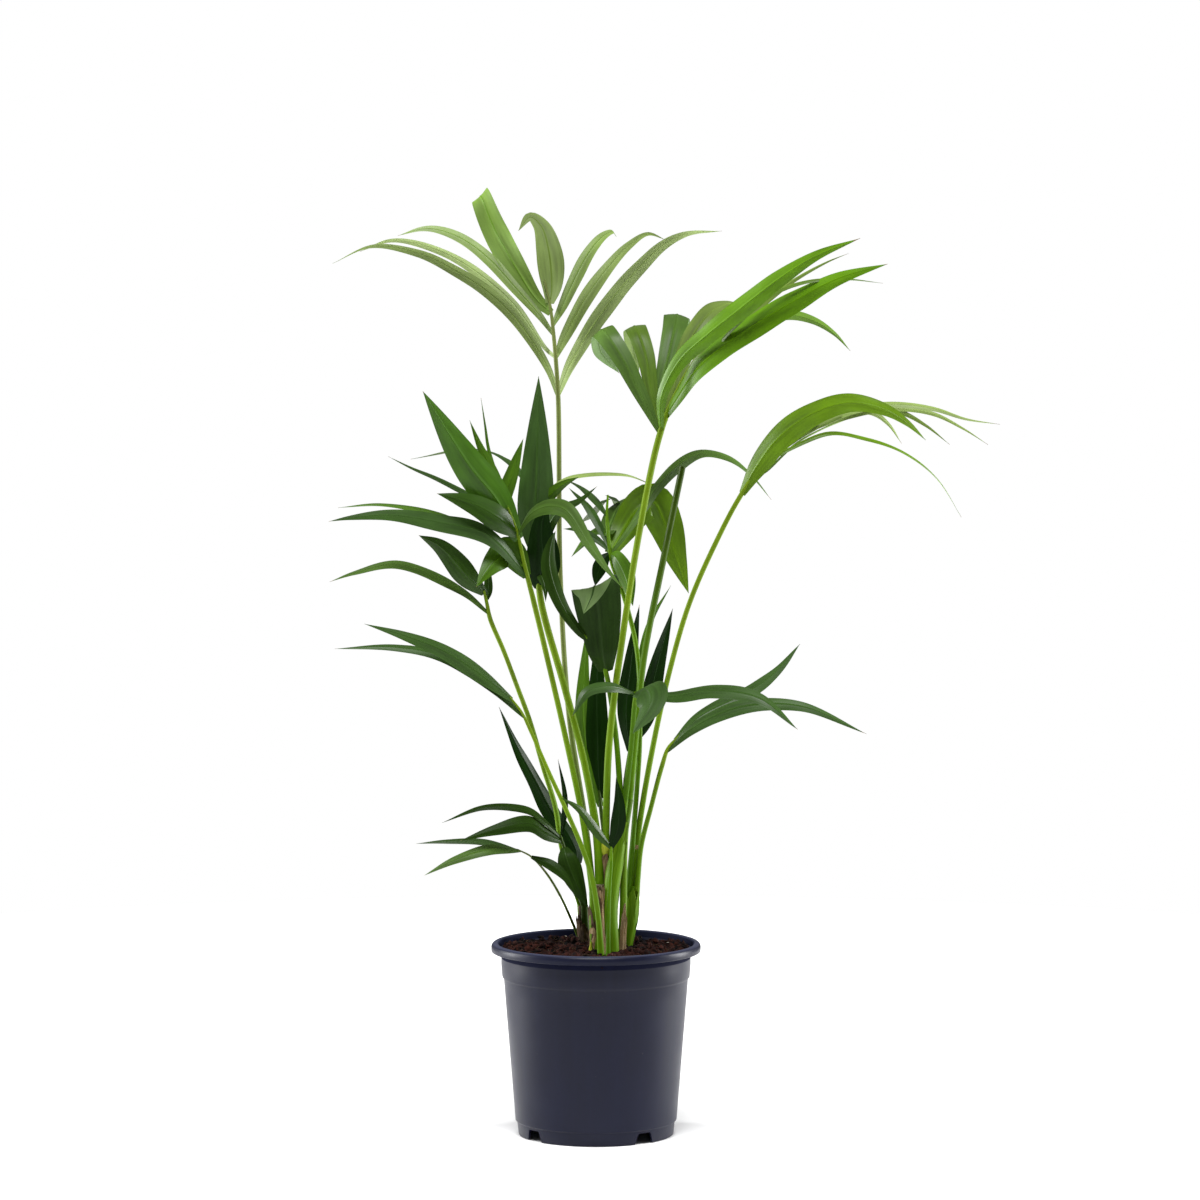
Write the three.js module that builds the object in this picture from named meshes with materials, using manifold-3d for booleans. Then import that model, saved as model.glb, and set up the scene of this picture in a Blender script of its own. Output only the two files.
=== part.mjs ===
// Potted kentia palm: a clump of young palms in a round nursery pot.
// Millimetres, +Z up, origin at the centre of the pot's flat underside, front of the plant towards -Y.
import * as THREE from "three";
import { mergeVertices } from "three/addons/utils/BufferGeometryUtils.js";
import Module from "manifold-3d";

// Driving dimensions
const GAP = 0.3;
const POT_RIM_RADIUS = 105;
const POT_HEIGHT = 193;
const POT_WALL = 1.5;
const WALL_FOOT_RADIUS = 81;
const WALL_TOP_RADIUS = 92.4;
const STEP_RADIUS = 94;
const COLLAR_RADIUS = 95;
const COLLAR_LEVEL = 172;
const POT_SIDES = 48;
const FOOT_RADIUS = 77.8;
const PAD_RADIUS = 45;
const PAD_THICKNESS = 2.2;
const CHANNEL_HEIGHT = 11.5;
const CHANNEL_FLOOR = 2;
const DRAIN_HOLES = 8;
const DRAIN_RING_RADIUS = 61;
const DRAIN_HOLE_RADIUS = 5;
const NOTCHES = 4;
const NOTCH_ANGLE = -52;
const NOTCH_WIDTH_LOW = 25;
const NOTCH_WIDTH_HIGH = 14.5;
const NOTCH_CUT_DEPTH = 16;
const CUT_MARGIN = 5;
const SOIL_LEVEL = 185;
const SOIL_FLAT_RADIUS = 72;
const SOIL_EDGE_LEVEL = 182.5;
const STEM_SIDES = 7;
const STEM_STEP = 32;
const LEAF_RINGS = 7;
const LEAF_THICKNESS = 0.012;
const LEAF_LEAST_THICKNESS = 1.1;
const LEAF_FOLD = 0.16;
const LEAF_WIDEST = 0.38;
const LEAF_TAPER = 1.5;
const LEAF_REACH = 0.985;
const LEAF_ROOT_WIDTH = 0.3;

// Finishes, by the photograph
const FINISHES = {
  pot: { color: "#34394a", roughness: 0.42, metalness: 0 },
  soil: { color: "#2b1812", roughness: 0.95, metalness: 0 },
  culm: { color: "#5d8a1e", roughness: 0.5, metalness: 0 },
  dry_culm: { color: "#6b5135", roughness: 0.8, metalness: 0 },
  bright_stalk: { color: "#6aa12a", roughness: 0.45, metalness: 0 },
  dull_stalk: { color: "#7d9560", roughness: 0.5, metalness: 0 },
  dark_stalk: { color: "#3f6528", roughness: 0.5, metalness: 0 },
  pale_leaf: { color: "#55803f", roughness: 0.5, metalness: 0 },
  bright_leaf: { color: "#4f8c1e", roughness: 0.42, metalness: 0 },
  leaf: { color: "#2f6024", roughness: 0.42, metalness: 0 },
  dark_leaf: { color: "#173a22", roughness: 0.4, metalness: 0 },
};

// Culms: the short sheathed stems that rise from the soil. Each row of a path is x, y, z.
const CULMS = {
  culm_left: { finish: "dry_culm", radii: [7.5, 7], path: [[-11, 50], [-13, 50, 224]] },
  culm_middle: { finish: "dry_culm", radii: [8, 10.5], path: [[1, -8], [2, -9, 215], [3, -10, 245]] },
  culm_front: {
    finish: "culm",
    radii: [6.5, 8],
    path: [[16, -24], [14, -24, 223], [17, -23, 261], [21, -20, 285], [29, -14, 338]],
  },
  culm_right: { finish: "culm", radii: [6, 7.5], path: [[29, 24], [35, 23, 215], [37, 22, 248]] },
};

// Limbs: a petiole and the frond that it carries share one centre line. foot is where the petiole
// stands, on the soil or as an offset from the middle of a culm's top, stalk goes on from there to the
// junction, and rachis from the junction to its end. radii are at the foot, the junction and the end.
// widest is how far along its leaflets the greatest width lies, where that isn't the usual place.
// Each leaflet row is: place along the rachis from 0 to 1, width, turn, then the points that its
// midrib runs through to its tip. turn is how far the upper face tips up, 0 facing the front.
const LIMBS = {
  top_left: {
    stem: "dull_stalk",
    leaf: "pale_leaf",
    on: "culm_middle",
    foot: [-6, 4],
    radii: [3, 2.4, 1.2],
    stalk: [[-11, 8, 315], [-27, 25, 419], [-36, 42, 560], [-38, 60, 734]],
    rachis: [[-42, 75, 791], [-46, 88, 826], [-52, 100, 854]],
    leaflets: [
      [
        0.02, 14, 150,
        [-48, 80, 765], [-67, 84, 797], [-96, 84, 832], [-134, 72, 860],
        [-178, 48, 882], [-223, 16, 889], [-260, -26, 872],
      ],
      [
        0.24, 12, 150,
        [-51, 83, 786], [-82, 94, 829], [-113, 104, 857], [-148, 116, 879],
        [-185, 130, 892], [-211, 144, 894], [-242, 164, 883],
      ],
      [
        0.41, 14, 150,
        [-57, 92, 819], [-82, 108, 847], [-108, 130, 875], [-135, 156, 895],
        [-161, 184, 905], [-180, 206, 906], [-206, 236, 899],
      ],
      [
        0.62, 27, 175,
        [-62, 100, 837], [-85, 118, 873], [-103, 136, 905], [-117, 152, 938],
        [-118, 178, 935], [-110, 205, 905], [-98, 225, 865],
      ],
      [0.72, 28, 175, [-45, 102, 849], [-48, 112, 883], [-56, 124, 909], [-67, 128, 918], [-79, 120, 904]],
      [
        0.5, 15, 155,
        [-34, 102, 829], [-24, 116, 851], [-10, 142, 878], [4, 172, 896],
        [16, 200, 903], [21, 226, 898],
      ],
      [
        0.24, 16, 155,
        [-32, 93, 797], [-10, 106, 837], [12, 124, 867], [33, 140, 889],
        [53, 152, 901], [71, 160, 895],
      ],
      [
        0.03, 18, 155,
        [-27, 80, 768], [-7, 86, 803], [17, 88, 837], [43, 82, 867],
        [66, 66, 889], [88, 46, 901], [125, 4, 904],
      ],
    ],
  },
  top_right: {
    stem: "bright_stalk",
    leaf: "leaf",
    widest: 0.55,
    on: "culm_middle",
    foot: [6.5, 0],
    radii: [3.5, 3.4, 1.3],
    stalk: [[10, -14, 309], [13, -18, 393], [25, -12, 492], [43, 8, 604], [63, 20, 699]],
    rachis: [[76, 18, 734], [100, 15, 776], [139, 10, 811]],
    leaflets: [
      [
        0.04, 23, 5,
        [45, 24, 741], [26, 32, 778], [12, 44, 799], [5, 70, 805],
        [4, 122, 783], [24, 172, 758],
      ],
      [
        0.08, 22, 5,
        [56, 26, 743], [50, 36, 779], [42, 52, 803], [38, 84, 808],
        [38, 134, 785], [44, 186, 756],
      ],
      [
        0.14, 26, 0,
        [65, 28, 743], [72, 40, 777], [79, 60, 807], [82, 92, 820],
        [86, 144, 798], [80, 200, 762],
      ],
      [0.25, 25, 20, [90, 38, 785], [108, 52, 815], [129, 78, 830], [155, 120, 826], [172, 160, 806]],
      [
        0.05, 21, 40,
        [65, -6, 740], [82, -20, 775], [110, -40, 802], [143, -60, 829],
        [178, -80, 857], [214, -98, 880], [256, -120, 897],
      ],
      [0.5, 7, 50, [103, -10, 784], [148, -16, 818], [192, -26, 853], [227, -32, 873], [249, -34, 882]],
      [0.2, 28, 45, [103, -28, 771], [144, -44, 804], [190, -62, 833], [237, -80, 858], [284, -96, 872]],
      [0.4, 7, 60, [137, -44, 811], [169, -56, 840], [204, -66, 854], [244, -70, 857], [281, -70, 853]],
      [
        0.45, 11, 45,
        [104, 12, 768], [149, 24, 806], [188, 40, 820], [217, 56, 815],
        [240, 70, 801], [257, 84, 783],
      ],
    ],
  },
  right_high: {
    stem: "bright_stalk",
    leaf: "bright_leaf",
    widest: 0.28,
    on: "culm_right",
    foot: [0, 4],
    radii: [3, 2.6, 1.1],
    stalk: [[41, 26, 290], [54, 16, 373], [74, 4, 468], [94, -4, 537], [124, -8, 605], [142, -10, 639]],
    rachis: [[162, -15, 669], [198, -20, 703], [243, -25, 725]],
    leaflets: [
      [
        0.05, 28, 35,
        [159, -18, 670], [182, -30, 701], [213, -46, 724], [248, -64, 736],
        [282, -82, 730], [304, -96, 717], [321, -110, 701],
      ],
      [
        0.3, 12, 50,
        [202, -14, 703], [244, -20, 724], [289, -28, 733], [333, -36, 729],
        [365, -42, 719], [398, -50, 714],
      ],
      [0.6, 8, 60, [241, 0, 718], [292, 0, 728], [334, 0, 723], [365, 0, 708], [390, -2, 692]],
      [0.7, 9, 45, [249, 12, 725], [276, 24, 723], [293, 36, 711], [307, 50, 691]],
      [0.75, 8, 45, [264, -2, 728], [301, 0, 725], [328, 0, 711], [352, 0, 692]],
      [
        0.35, 6, 45,
        [182, 14, 681], [232, 26, 702], [271, 42, 696], [311, 60, 681],
        [345, 78, 654], [371, 96, 614],
      ],
      [0.2, 13, 100, [167, 6, 663], [200, 32, 692], [236, 66, 709], [268, 104, 718], [297, 140, 720]],
    ],
  },
  cut: {
    stem: "dark_stalk",
    on: "culm_front",
    foot: [4, 0],
    radii: [3.3, 3.4],
    stalk: [[40, 2, 404], [48, 14, 479], [67, 40, 572], [87, 62, 667]],
  },
  back_centre: {
    stem: "bright_stalk",
    leaf: "leaf",
    widest: 0.5,
    on: "culm_right",
    foot: [-4, -2],
    radii: [2.6, 2.2, 1.1],
    stalk: [[40, 22, 332], [44, 24, 399], [41, 30, 484], [26, 44, 544], [16, 52, 571]],
    rachis: [[12, 65, 601], [11, 80, 620], [12, 100, 636]],
    leaflets: [
      [0.15, 10, 30, [4, 72, 605], [-9, 92, 626], [-28, 118, 643]],
      [0.6, 15, 60, [-6, 104, 638], [-19, 118, 646], [-31, 134, 650]],
      [0.12, 9, 30, [2, 62, 593], [-16, 66, 603], [-33, 70, 604]],
      [0.3, 13, 30, [1, 76, 602], [-12, 76, 591], [-25, 78, 575]],
      [0.1, 15, 10, [7, 49, 573], [2, 46, 561], [-1, 42, 548]],
      [0.3, 30, 35, [16, 102, 609], [26, 128, 627], [50, 176, 635]],
      [
        0.1, 15, 50,
        [26, 56, 594], [44, 66, 620], [59, 80, 642], [82, 96, 666],
        [108, 112, 679], [136, 122, 673], [160, 128, 654], [179, 130, 630],
      ],
      [
        0.1, 32, 10,
        [26, 74, 600], [50, 80, 626], [67, 86, 635], [82, 90, 612],
        [91, 92, 576], [94, 92, 537],
      ],
      [0.09, 20, 10, [20, 42, 577], [30, 33, 558], [37, 24, 529]],
      [0.9, 22, 90, [4, 134, 640], [-14, 188, 609], [-22, 238, 604]],
      [1, 22, 90, [22, 140, 642], [38, 200, 603], [46, 250, 590]],
    ],
  },
  left_front: {
    stem: "bright_stalk",
    leaf: "leaf",
    on: "culm_middle",
    foot: [-6, -4],
    radii: [3, 2.8, 1.2],
    stalk: [[-13, -16, 318], [-30, -17, 400], [-45, -18, 466], [-62, -20, 538]],
    rachis: [[-70, -25, 570], [-78, -30, 606], [-87, -36, 631]],
    leaflets: [
      [0.6, 36, 15, [-98, -40, 639], [-124, -56, 673], [-147, -72, 710], [-169, -90, 748]],
      [0.65, 27, 30, [-95, -50, 621], [-116, -60, 634], [-137, -68, 642], [-156, -72, 647]],
      [
        0.25, 20, 40,
        [-107, -50, 605], [-152, -68, 618], [-202, -88, 627], [-240, -104, 625],
        [-260, -114, 622],
      ],
      [0.35, 13, 60, [-125, -28, 611], [-169, -24, 627], [-214, -28, 634], [-255, -34, 631]],
      [0.25, 28, 0, [-88, -34, 594], [-101, -43, 590], [-112, -51, 578], [-119, -57, 556]],
      [0.95, 8, 50, [-117, -30, 640], [-160, -34, 661], [-183, -38, 671], [-205, -42, 682]],
      [1, 11, 10, [-103, -28, 668], [-115, -26, 692], [-125, -25, 717]],
      [0.98, 4, 10, [-106, -15, 686], [-110, -15, 712], [-114, -15, 739]],
      [0.9, 15, 10, [-90, -30, 638], [-82, -26, 668], [-72, -24, 699]],
      [
        0.65, 17, 60,
        [-65, -46, 625], [-47, -62, 634], [-29, -80, 631], [-8, -98, 601],
        [10, -110, 576], [26, -116, 557],
      ],
    ],
  },
  left_tall: {
    stem: "bright_stalk",
    leaf: "leaf",
    widest: 0.28,
    on: "culm_middle",
    foot: [1, -6],
    radii: [3.5, 3.2, 1.4],
    stalk: [[1, -12, 300], [-11, -2, 372], [-30, 4, 445], [-55, 10, 536]],
    rachis: [[-58, 12, 576], [-61, 15, 616], [-59, 18, 641]],
    leaflets: [
      [0.35, 37, 0, [-60, 8, 628], [-59, 4, 667], [-58, 2, 706], [-57, 0, 760]],
      [0.8, 13, 10, [-40, 4, 647], [-30, 0, 654], [-17, -5, 660]],
      [0.4, 13, 20, [-38, -8, 625], [-16, -12, 637], [1, -14, 651]],
      [0.95, 7, 50, [-31, 24, 656], [-10, 40, 660], [28, 64, 659], [47, 84, 652], [66, 104, 641]],
      [0.08, 36, 0, [-53, -5, 582], [-54, -12, 613], [-48, -15, 638]],
      [0.25, 10, 0, [-51, -10, 553], [-50, -12, 536]],
      [0.98, 14, 60, [-85, 32, 673], [-123, 60, 685], [-188, 100, 673]],
    ],
  },
  centre_fold: {
    stem: "bright_stalk",
    leaf: "dark_leaf",
    widest: 0.7,
    on: "culm_front",
    foot: [-4.5, 0],
    radii: [2.7, 2.6, 1.4],
    stalk: [[20, -6, 399], [12, -12, 456]],
    rachis: [[7, -22, 476], [-1, -32, 494], [-13, -42, 506]],
    leaflets: [
      [
        0.16, 48, 0,
        [7, -36, 485], [5, -43, 508], [2, -54, 536], [-1, -64, 555],
        [-4, -80, 546], [-12, -90, 530],
      ],
      [0.8, 17, 20, [-16, -46, 509], [-35, -54, 539], [-46, -54, 575], [-44, -46, 597], [-40, -38, 608]],
    ],
  },
  left_mid: {
    stem: "bright_stalk",
    leaf: "leaf",
    on: "culm_left",
    foot: [-3, 4],
    radii: [2.6, 2.4, 1.3],
    stalk: [
      [-34, 42, 281],
      [-41, 38, 325],
      [-53, 32, 366],
      [-66, 20, 413],
      [-79, 3, 451],
      [-92, -14, 488],
      [-105, -30, 521],
    ],
    rachis: [[-108, -33, 536], [-111, -35, 549]],
    leaflets: [
      [0.9, 25, 20, [-125, -44, 562], [-152, -58, 593], [-174, -72, 606]],
      [0.15, 13, 50, [-133, -36, 549], [-194, -52, 576], [-237, -72, 569], [-261, -84, 561]],
      [0.6, 9, 0, [-107, -24, 549], [-107, -20, 578]],
    ],
  },
  left_low: {
    stem: "bright_stalk",
    leaf: "leaf",
    on: "soil",
    foot: [5, -36],
    radii: [4.5, 2.6, 1.3],
    stalk: [[2, -38, 225], [-6, -42, 271], [-27, -47, 326], [-46, -48, 368], [-65, -45, 411]],
    rachis: [[-74, -50, 430], [-85, -55, 445]],
    leaflets: [
      [0.9, 19, 40, [-107, -65, 463], [-149, -75, 492], [-188, -82, 508], [-227, -88, 520]],
      [0.35, 15, 50, [-100, -55, 453], [-149, -60, 485], [-198, -65, 495], [-257, -70, 494]],
    ],
  },
  left_dark: {
    stem: "dark_stalk",
    leaf: "dark_leaf",
    on: "culm_left",
    foot: [1, -4],
    radii: [2.8, 2.5, 1.2],
    stalk: [[-24, 35, 259]],
    rachis: [[-31, 28, 282], [-36, 23, 298]],
    leaflets: [
      [
        0.14, 23, 10,
        [-19, 50, 273], [-28, 58, 294], [-44, 61, 316], [-61, 61, 348],
        [-79, 58, 382], [-98, 52, 425],
      ],
      [0.95, 11, 60, [-50, 12, 312], [-69, 6, 326], [-113, -2, 329], [-154, -5, 314]],
      [0.8, 18, 40, [-50, 8, 302], [-66, -2, 313], [-101, -15, 308], [-135, -20, 298]],
      [0.6, 23, 0, [-30, 17, 278], [-22, 12, 256], [-8, 10, 226]],
      [0.9, 6, 0, [-31, 15, 335], [-38, 12, 376]],
    ],
  },
  left_small: {
    stem: "bright_stalk",
    leaf: "dark_leaf",
    on: "soil",
    foot: [-16, 62],
    radii: [2.2, 1.9, 1.2],
    stalk: [[-35, 42, 232], [-50, 28, 259]],
    rachis: [[-65, 18, 277], [-78, 10, 285]],
    leaflets: [
      [0.9, 11, 60, [-113, 5, 294], [-151, -2, 295], [-180, -5, 293]],
      [0.95, 13, 45, [-106, -10, 288], [-140, -20, 279], [-171, -28, 264]],
      [0.5, 11, 20, [-44, 10, 269], [-28, 5, 255], [-19, 2, 236]],
    ],
  },
  seedling: {
    stem: "bright_stalk",
    leaf: "dark_leaf",
    on: "soil",
    foot: [12, -42],
    radii: [2.6, 2.2, 1.6],
    stalk: [[13, -40, 241], [15, -38, 280]],
    rachis: [[15, -38, 294]],
    leaflets: [
      [0.9, 12, 40, [2, -45, 309], [-17, -55, 334], [-35, -62, 346]],
      [0.9, 15, 0, [21, -42, 312], [23, -44, 338], [20, -45, 364]],
    ],
  },
  right_low: {
    stem: "bright_stalk",
    leaf: "leaf",
    on: "culm_right",
    foot: [4, -2],
    radii: [2.6, 2.4, 1.4],
    stalk: [[45, 18, 287], [55, 4, 329], [66, -20, 374]],
    rachis: [[72, -22, 391], [84, -25, 404]],
    leaflets: [
      [0.8, 19, 40, [104, -14, 422], [149, 4, 443], [180, 30, 462], [206, 60, 488]],
      [0.4, 17, 45, [96, -35, 412], [142, -45, 434], [202, -55, 436], [267, -62, 409]],
    ],
  },
  front_centre: {
    stem: "bright_stalk",
    leaf: "leaf",
    widest: 0.5,
    on: "culm_front",
    foot: [0, -5],
    radii: [2.6, 2.3, 1.5],
    stalk: [[35, -35, 395], [38, -52, 437]],
    rachis: [[39, -60, 450]],
    leaflets: [
      [0.9, 14, 60, [16, -85, 458], [-8, -105, 455], [-23, -118, 432]],
      [1, 35, 80, [50, -84, 456], [54, -106, 445], [36, -121, 415]],
      [0.9, 19, 45, [75, -80, 448], [116, -105, 456], [160, -125, 450], [196, -138, 421]],
    ],
  },
  dark_upright: {
    stem: "dark_stalk",
    leaf: "dark_leaf",
    on: "culm_middle",
    foot: [1, 5],
    radii: [2.4, 2.3, 1.5],
    stalk: [[8, 8, 294]],
    rachis: [[5, 20, 323], [3, 28, 343]],
    leaflets: [
      [0.8, 23, 0, [2, 35, 373], [1, 45, 433], [2, 50, 508]],
      [0.6, 19, 10, [-10, 42, 388], [-13, 56, 432], [-9, 76, 506]],
    ],
  },
  dark_pair: {
    stem: "dark_stalk",
    leaf: "dark_leaf",
    on: "culm_front",
    foot: [0, 6],
    radii: [2.5, 2.3, 1.5],
    stalk: [[30, 4, 358]],
    rachis: [[32, 18, 372], [35, 32, 390]],
    leaflets: [
      [0.8, 18, 10, [30, 44, 420], [36, 62, 474], [44, 84, 526]],
      [0.95, 20, 10, [49, 48, 412], [62, 70, 465], [78, 98, 521]],
      [0.9, 10, 10, [42, 54, 440], [53, 76, 504], [76, 104, 544]],
    ],
  },
};

const wasm = await Module();
wasm.setup();
const FRONT = new THREE.Vector3(0, -1, 0);

function vector([x, y, z]) {
  return new THREE.Vector3(x, y, z);
}

// A closed surface from its corners and faces.
function surface(corners, faces) {
  const geometry = new THREE.BufferGeometry();
  geometry.setAttribute("position", new THREE.Float32BufferAttribute(corners.flatMap((c) => c.toArray()), 3));
  geometry.setIndex(faces.flat());
  return geometry;
}

// Rings of equal count joined into one closed body, with flat ends.
function loft(rings) {
  const sides = rings[0].length;
  const faces = [];
  for (let r = 0; r + 1 < rings.length; r++) {
    for (let s = 0; s < sides; s++) {
      const a = r * sides + s;
      const b = r * sides + ((s + 1) % sides);
      faces.push([a, b, b + sides], [a, b + sides, a + sides]);
    }
  }
  const last = (rings.length - 1) * sides;
  for (let s = 1; s + 1 < sides; s++) {
    faces.push([0, s + 1, s], [last, last + s, last + s + 1]);
  }
  return surface(rings.flat(), faces);
}

function solid(geometry) {
  const bare = geometry.clone();
  bare.deleteAttribute("normal");
  bare.deleteAttribute("uv");
  const merged = mergeVertices(bare, 1e-4);
  const vertProperties = new Float32Array(merged.attributes.position.array);
  const triVerts = new Uint32Array(merged.index.array);
  return new wasm.Manifold(new wasm.Mesh({ numProp: 3, vertProperties, triVerts }));
}

function geometryOf(body) {
  const { vertProperties, triVerts } = body.getMesh();
  const geometry = new THREE.BufferGeometry();
  geometry.setAttribute("position", new THREE.BufferAttribute(vertProperties, 3));
  geometry.setIndex(new THREE.BufferAttribute(triVerts, 1));
  return geometry;
}

function named(name, geometry, finish) {
  const shown = geometry.toNonIndexed();
  shown.computeVertexNormals();
  const mesh = new THREE.Mesh(shown, new THREE.MeshStandardMaterial(FINISHES[finish]));
  mesh.name = name;
  return mesh;
}

// Across and upward directions of a tube at a point of its centre line.
function ringFrame(tangent) {
  const across = new THREE.Vector3().crossVectors(tangent, FRONT).normalize();
  const over = new THREE.Vector3().crossVectors(tangent, across).normalize();
  return { across, over };
}

function ring(centre, tangent, radius, level) {
  const { across, over } = ringFrame(tangent);
  const corners = [];
  for (let s = 0; s < STEM_SIDES; s++) {
    const angle = (2 * Math.PI * s) / STEM_SIDES;
    const corner = centre.clone();
    corner.addScaledVector(across, radius * Math.cos(angle));
    corner.addScaledVector(over, radius * Math.sin(angle));
    if (level) corner.z = centre.z;
    corners.push(corner);
  }
  return corners;
}

// A tapering stem along part of a curve. A level end is cut flat to stand on what is under it.
function stem(curve, from, to, radii, levelFoot, levelTop) {
  const length = curve.getLength() * (to - from);
  const steps = Math.max(3, Math.round(length / STEM_STEP));
  const rings = [];
  for (let i = 0; i <= steps; i++) {
    const part = i / steps;
    const t = from + (to - from) * part;
    const level = (levelFoot && i === 0) || (levelTop && i === steps);
    const radius = THREE.MathUtils.lerp(radii[0], radii[1], part);
    rings.push(ring(curve.getPoint(t), curve.getTangent(t), radius, level));
  }
  return loft(rings);
}

// Half the width of a blade, as a share of its widest, from root to tip.
function outline(part, widest) {
  const rise = Math.min(1, part / widest);
  const body = LEAF_ROOT_WIDTH + (1 - LEAF_ROOT_WIDTH) * Math.sin((rise * Math.PI) / 2);
  const fall = Math.max(0, (part - widest) / (1 - widest));
  return body * (1 - fall ** LEAF_TAPER);
}

// The upper face's direction at a blade's root: facing the front, tipped up by the turn.
function faceDirection(tangent, turn) {
  const facing = FRONT.clone().addScaledVector(tangent, -FRONT.dot(tangent)).normalize();
  const upward = new THREE.Vector3().crossVectors(tangent, facing);
  if (upward.z < 0) upward.negate();
  const angle = THREE.MathUtils.degToRad(turn);
  return facing.multiplyScalar(Math.cos(angle)).addScaledVector(upward, Math.sin(angle));
}

// One leaflet: a thin blade with a raised midrib, folded a little along it, drawn out to a point.
function blade(root, widest, [width, turn, ...points]) {
  const curve = new THREE.CatmullRomCurve3([root, ...points.map(vector)]);
  const thickness = Math.max(LEAF_LEAST_THICKNESS, LEAF_THICKNESS * curve.getLength());
  let face = faceDirection(curve.getTangentAt(0), turn);
  const rings = [];
  for (let i = 0; i <= LEAF_RINGS; i++) {
    const part = (i / LEAF_RINGS) * LEAF_REACH;
    const centre = curve.getPointAt(part);
    const tangent = curve.getTangentAt(part);
    face = face.addScaledVector(tangent, -face.dot(tangent)).normalize();
    const across = new THREE.Vector3().crossVectors(face, tangent);
    const half = (width / 2) * outline(part, widest);
    const edge = centre.clone().addScaledVector(face, -LEAF_FOLD * half);
    const depth = thickness * (1 - 0.6 * part);
    rings.push([
      edge.clone().addScaledVector(across, -half),
      centre.clone().addScaledVector(face, -depth / 2),
      edge.clone().addScaledVector(across, half),
      centre.clone().addScaledVector(face, depth / 2),
    ]);
  }
  return loft(rings);
}

// One side of the pot's section, from the middle of the underside out and up, over the rim and back.
function potProfile() {
  const channelTop = CHANNEL_HEIGHT + CHANNEL_FLOOR;
  return [
    [0, 0],
    [PAD_RADIUS, 0],
    [PAD_RADIUS + 2, CHANNEL_HEIGHT],
    [FOOT_RADIUS - 2, CHANNEL_HEIGHT],
    [FOOT_RADIUS - 1.8, 0],
    [FOOT_RADIUS, 0],
    [79.2, 13],
    [WALL_FOOT_RADIUS, 14.5],
    [WALL_TOP_RADIUS, 157],
    [STEP_RADIUS, 159],
    [COLLAR_RADIUS, COLLAR_LEVEL],
    [COLLAR_RADIUS, 183.5],
    [97.2, 186.8],
    [102.4, 187.2],
    [103.4, 184.5],
    [104.8, 184.8],
    [POT_RIM_RADIUS, 189],
    [103.9, 191.8],
    [101.5, POT_HEIGHT],
    [98.8, 192.7],
    [97.3, 191],
    [COLLAR_RADIUS - POT_WALL, COLLAR_LEVEL],
    [STEP_RADIUS - POT_WALL, 160.5],
    [WALL_TOP_RADIUS - POT_WALL, 158],
    [WALL_FOOT_RADIUS - POT_WALL, channelTop + 2],
    [78, channelTop],
    [PAD_RADIUS + 4, channelTop],
    [PAD_RADIUS + 1.6, PAD_THICKNESS],
    [0, PAD_THICKNESS],
  ];
}

// A profile of radius and height turned about the pot's axis.
function turned(profile) {
  const points = profile.map(([radius, height]) => new THREE.Vector2(radius, height));
  return new THREE.LatheGeometry(points, POT_SIDES).rotateX(Math.PI / 2);
}

function notch(index) {
  const shape = new THREE.Shape();
  shape.moveTo(-NOTCH_WIDTH_LOW / 2, -CUT_MARGIN);
  shape.lineTo(NOTCH_WIDTH_LOW / 2, -CUT_MARGIN);
  shape.lineTo(NOTCH_WIDTH_HIGH / 2, CHANNEL_HEIGHT - 0.5);
  shape.lineTo(-NOTCH_WIDTH_HIGH / 2, CHANNEL_HEIGHT - 0.5);
  const cutter = new THREE.ExtrudeGeometry(shape, { depth: NOTCH_CUT_DEPTH, bevelEnabled: false });
  cutter.rotateX(Math.PI / 2).translate(0, -FOOT_RADIUS + NOTCH_CUT_DEPTH / 2, 0);
  return cutter.rotateZ(THREE.MathUtils.degToRad(NOTCH_ANGLE + (360 / NOTCHES) * index));
}

function drainHole(index) {
  const cutter = new THREE.CylinderGeometry(DRAIN_HOLE_RADIUS, DRAIN_HOLE_RADIUS, 2 * CUT_MARGIN, 12);
  cutter.rotateX(Math.PI / 2).translate(DRAIN_RING_RADIUS, 0, CHANNEL_HEIGHT + 1);
  return cutter.rotateZ(((index + 0.5) * 2 * Math.PI) / DRAIN_HOLES);
}

function pot() {
  let body = solid(turned(potProfile()));
  for (let i = 0; i < NOTCHES; i++) body = body.subtract(solid(notch(i)));
  for (let i = 0; i < DRAIN_HOLES; i++) body = body.subtract(solid(drainHole(i)));
  return named("pot", geometryOf(body), "pot");
}

// Potting soil: fills the pot to just below the rim and lies a little lower at the wall.
function soil() {
  const channelTop = CHANNEL_HEIGHT + CHANNEL_FLOOR + GAP;
  const inset = POT_WALL + 2 * GAP;
  const profile = [
    [0, PAD_THICKNESS + GAP],
    [PAD_RADIUS + 1.2, PAD_THICKNESS + GAP],
    [PAD_RADIUS + 3.6, channelTop],
    [77.5, channelTop],
    [WALL_FOOT_RADIUS - inset, channelTop + 2.2],
    [WALL_TOP_RADIUS - inset, 158.4],
    [STEP_RADIUS - inset, 161],
    [COLLAR_RADIUS - inset, COLLAR_LEVEL],
    [94.3, SOIL_EDGE_LEVEL],
    [SOIL_FLAT_RADIUS, SOIL_LEVEL],
    [0, SOIL_LEVEL],
  ];
  return named("soil", turned(profile), "soil");
}

function culmPath({ path }) {
  const [[x, y], ...rest] = path;
  return [[x, y, SOIL_LEVEL + GAP], ...rest];
}

function culm(name, row) {
  const curve = new THREE.CatmullRomCurve3(culmPath(row).map(vector));
  return named(name, stem(curve, 0, 1, row.radii, true, true), row.finish);
}

// Where a petiole stands: on the soil, or on the flat top of its culm.
function footOf({ on, foot }) {
  if (on === "soil") return [foot[0], foot[1], SOIL_LEVEL + GAP];
  const [x, y, z] = CULMS[on].path.at(-1);
  return [x + foot[0], y + foot[1], z + GAP];
}

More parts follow.
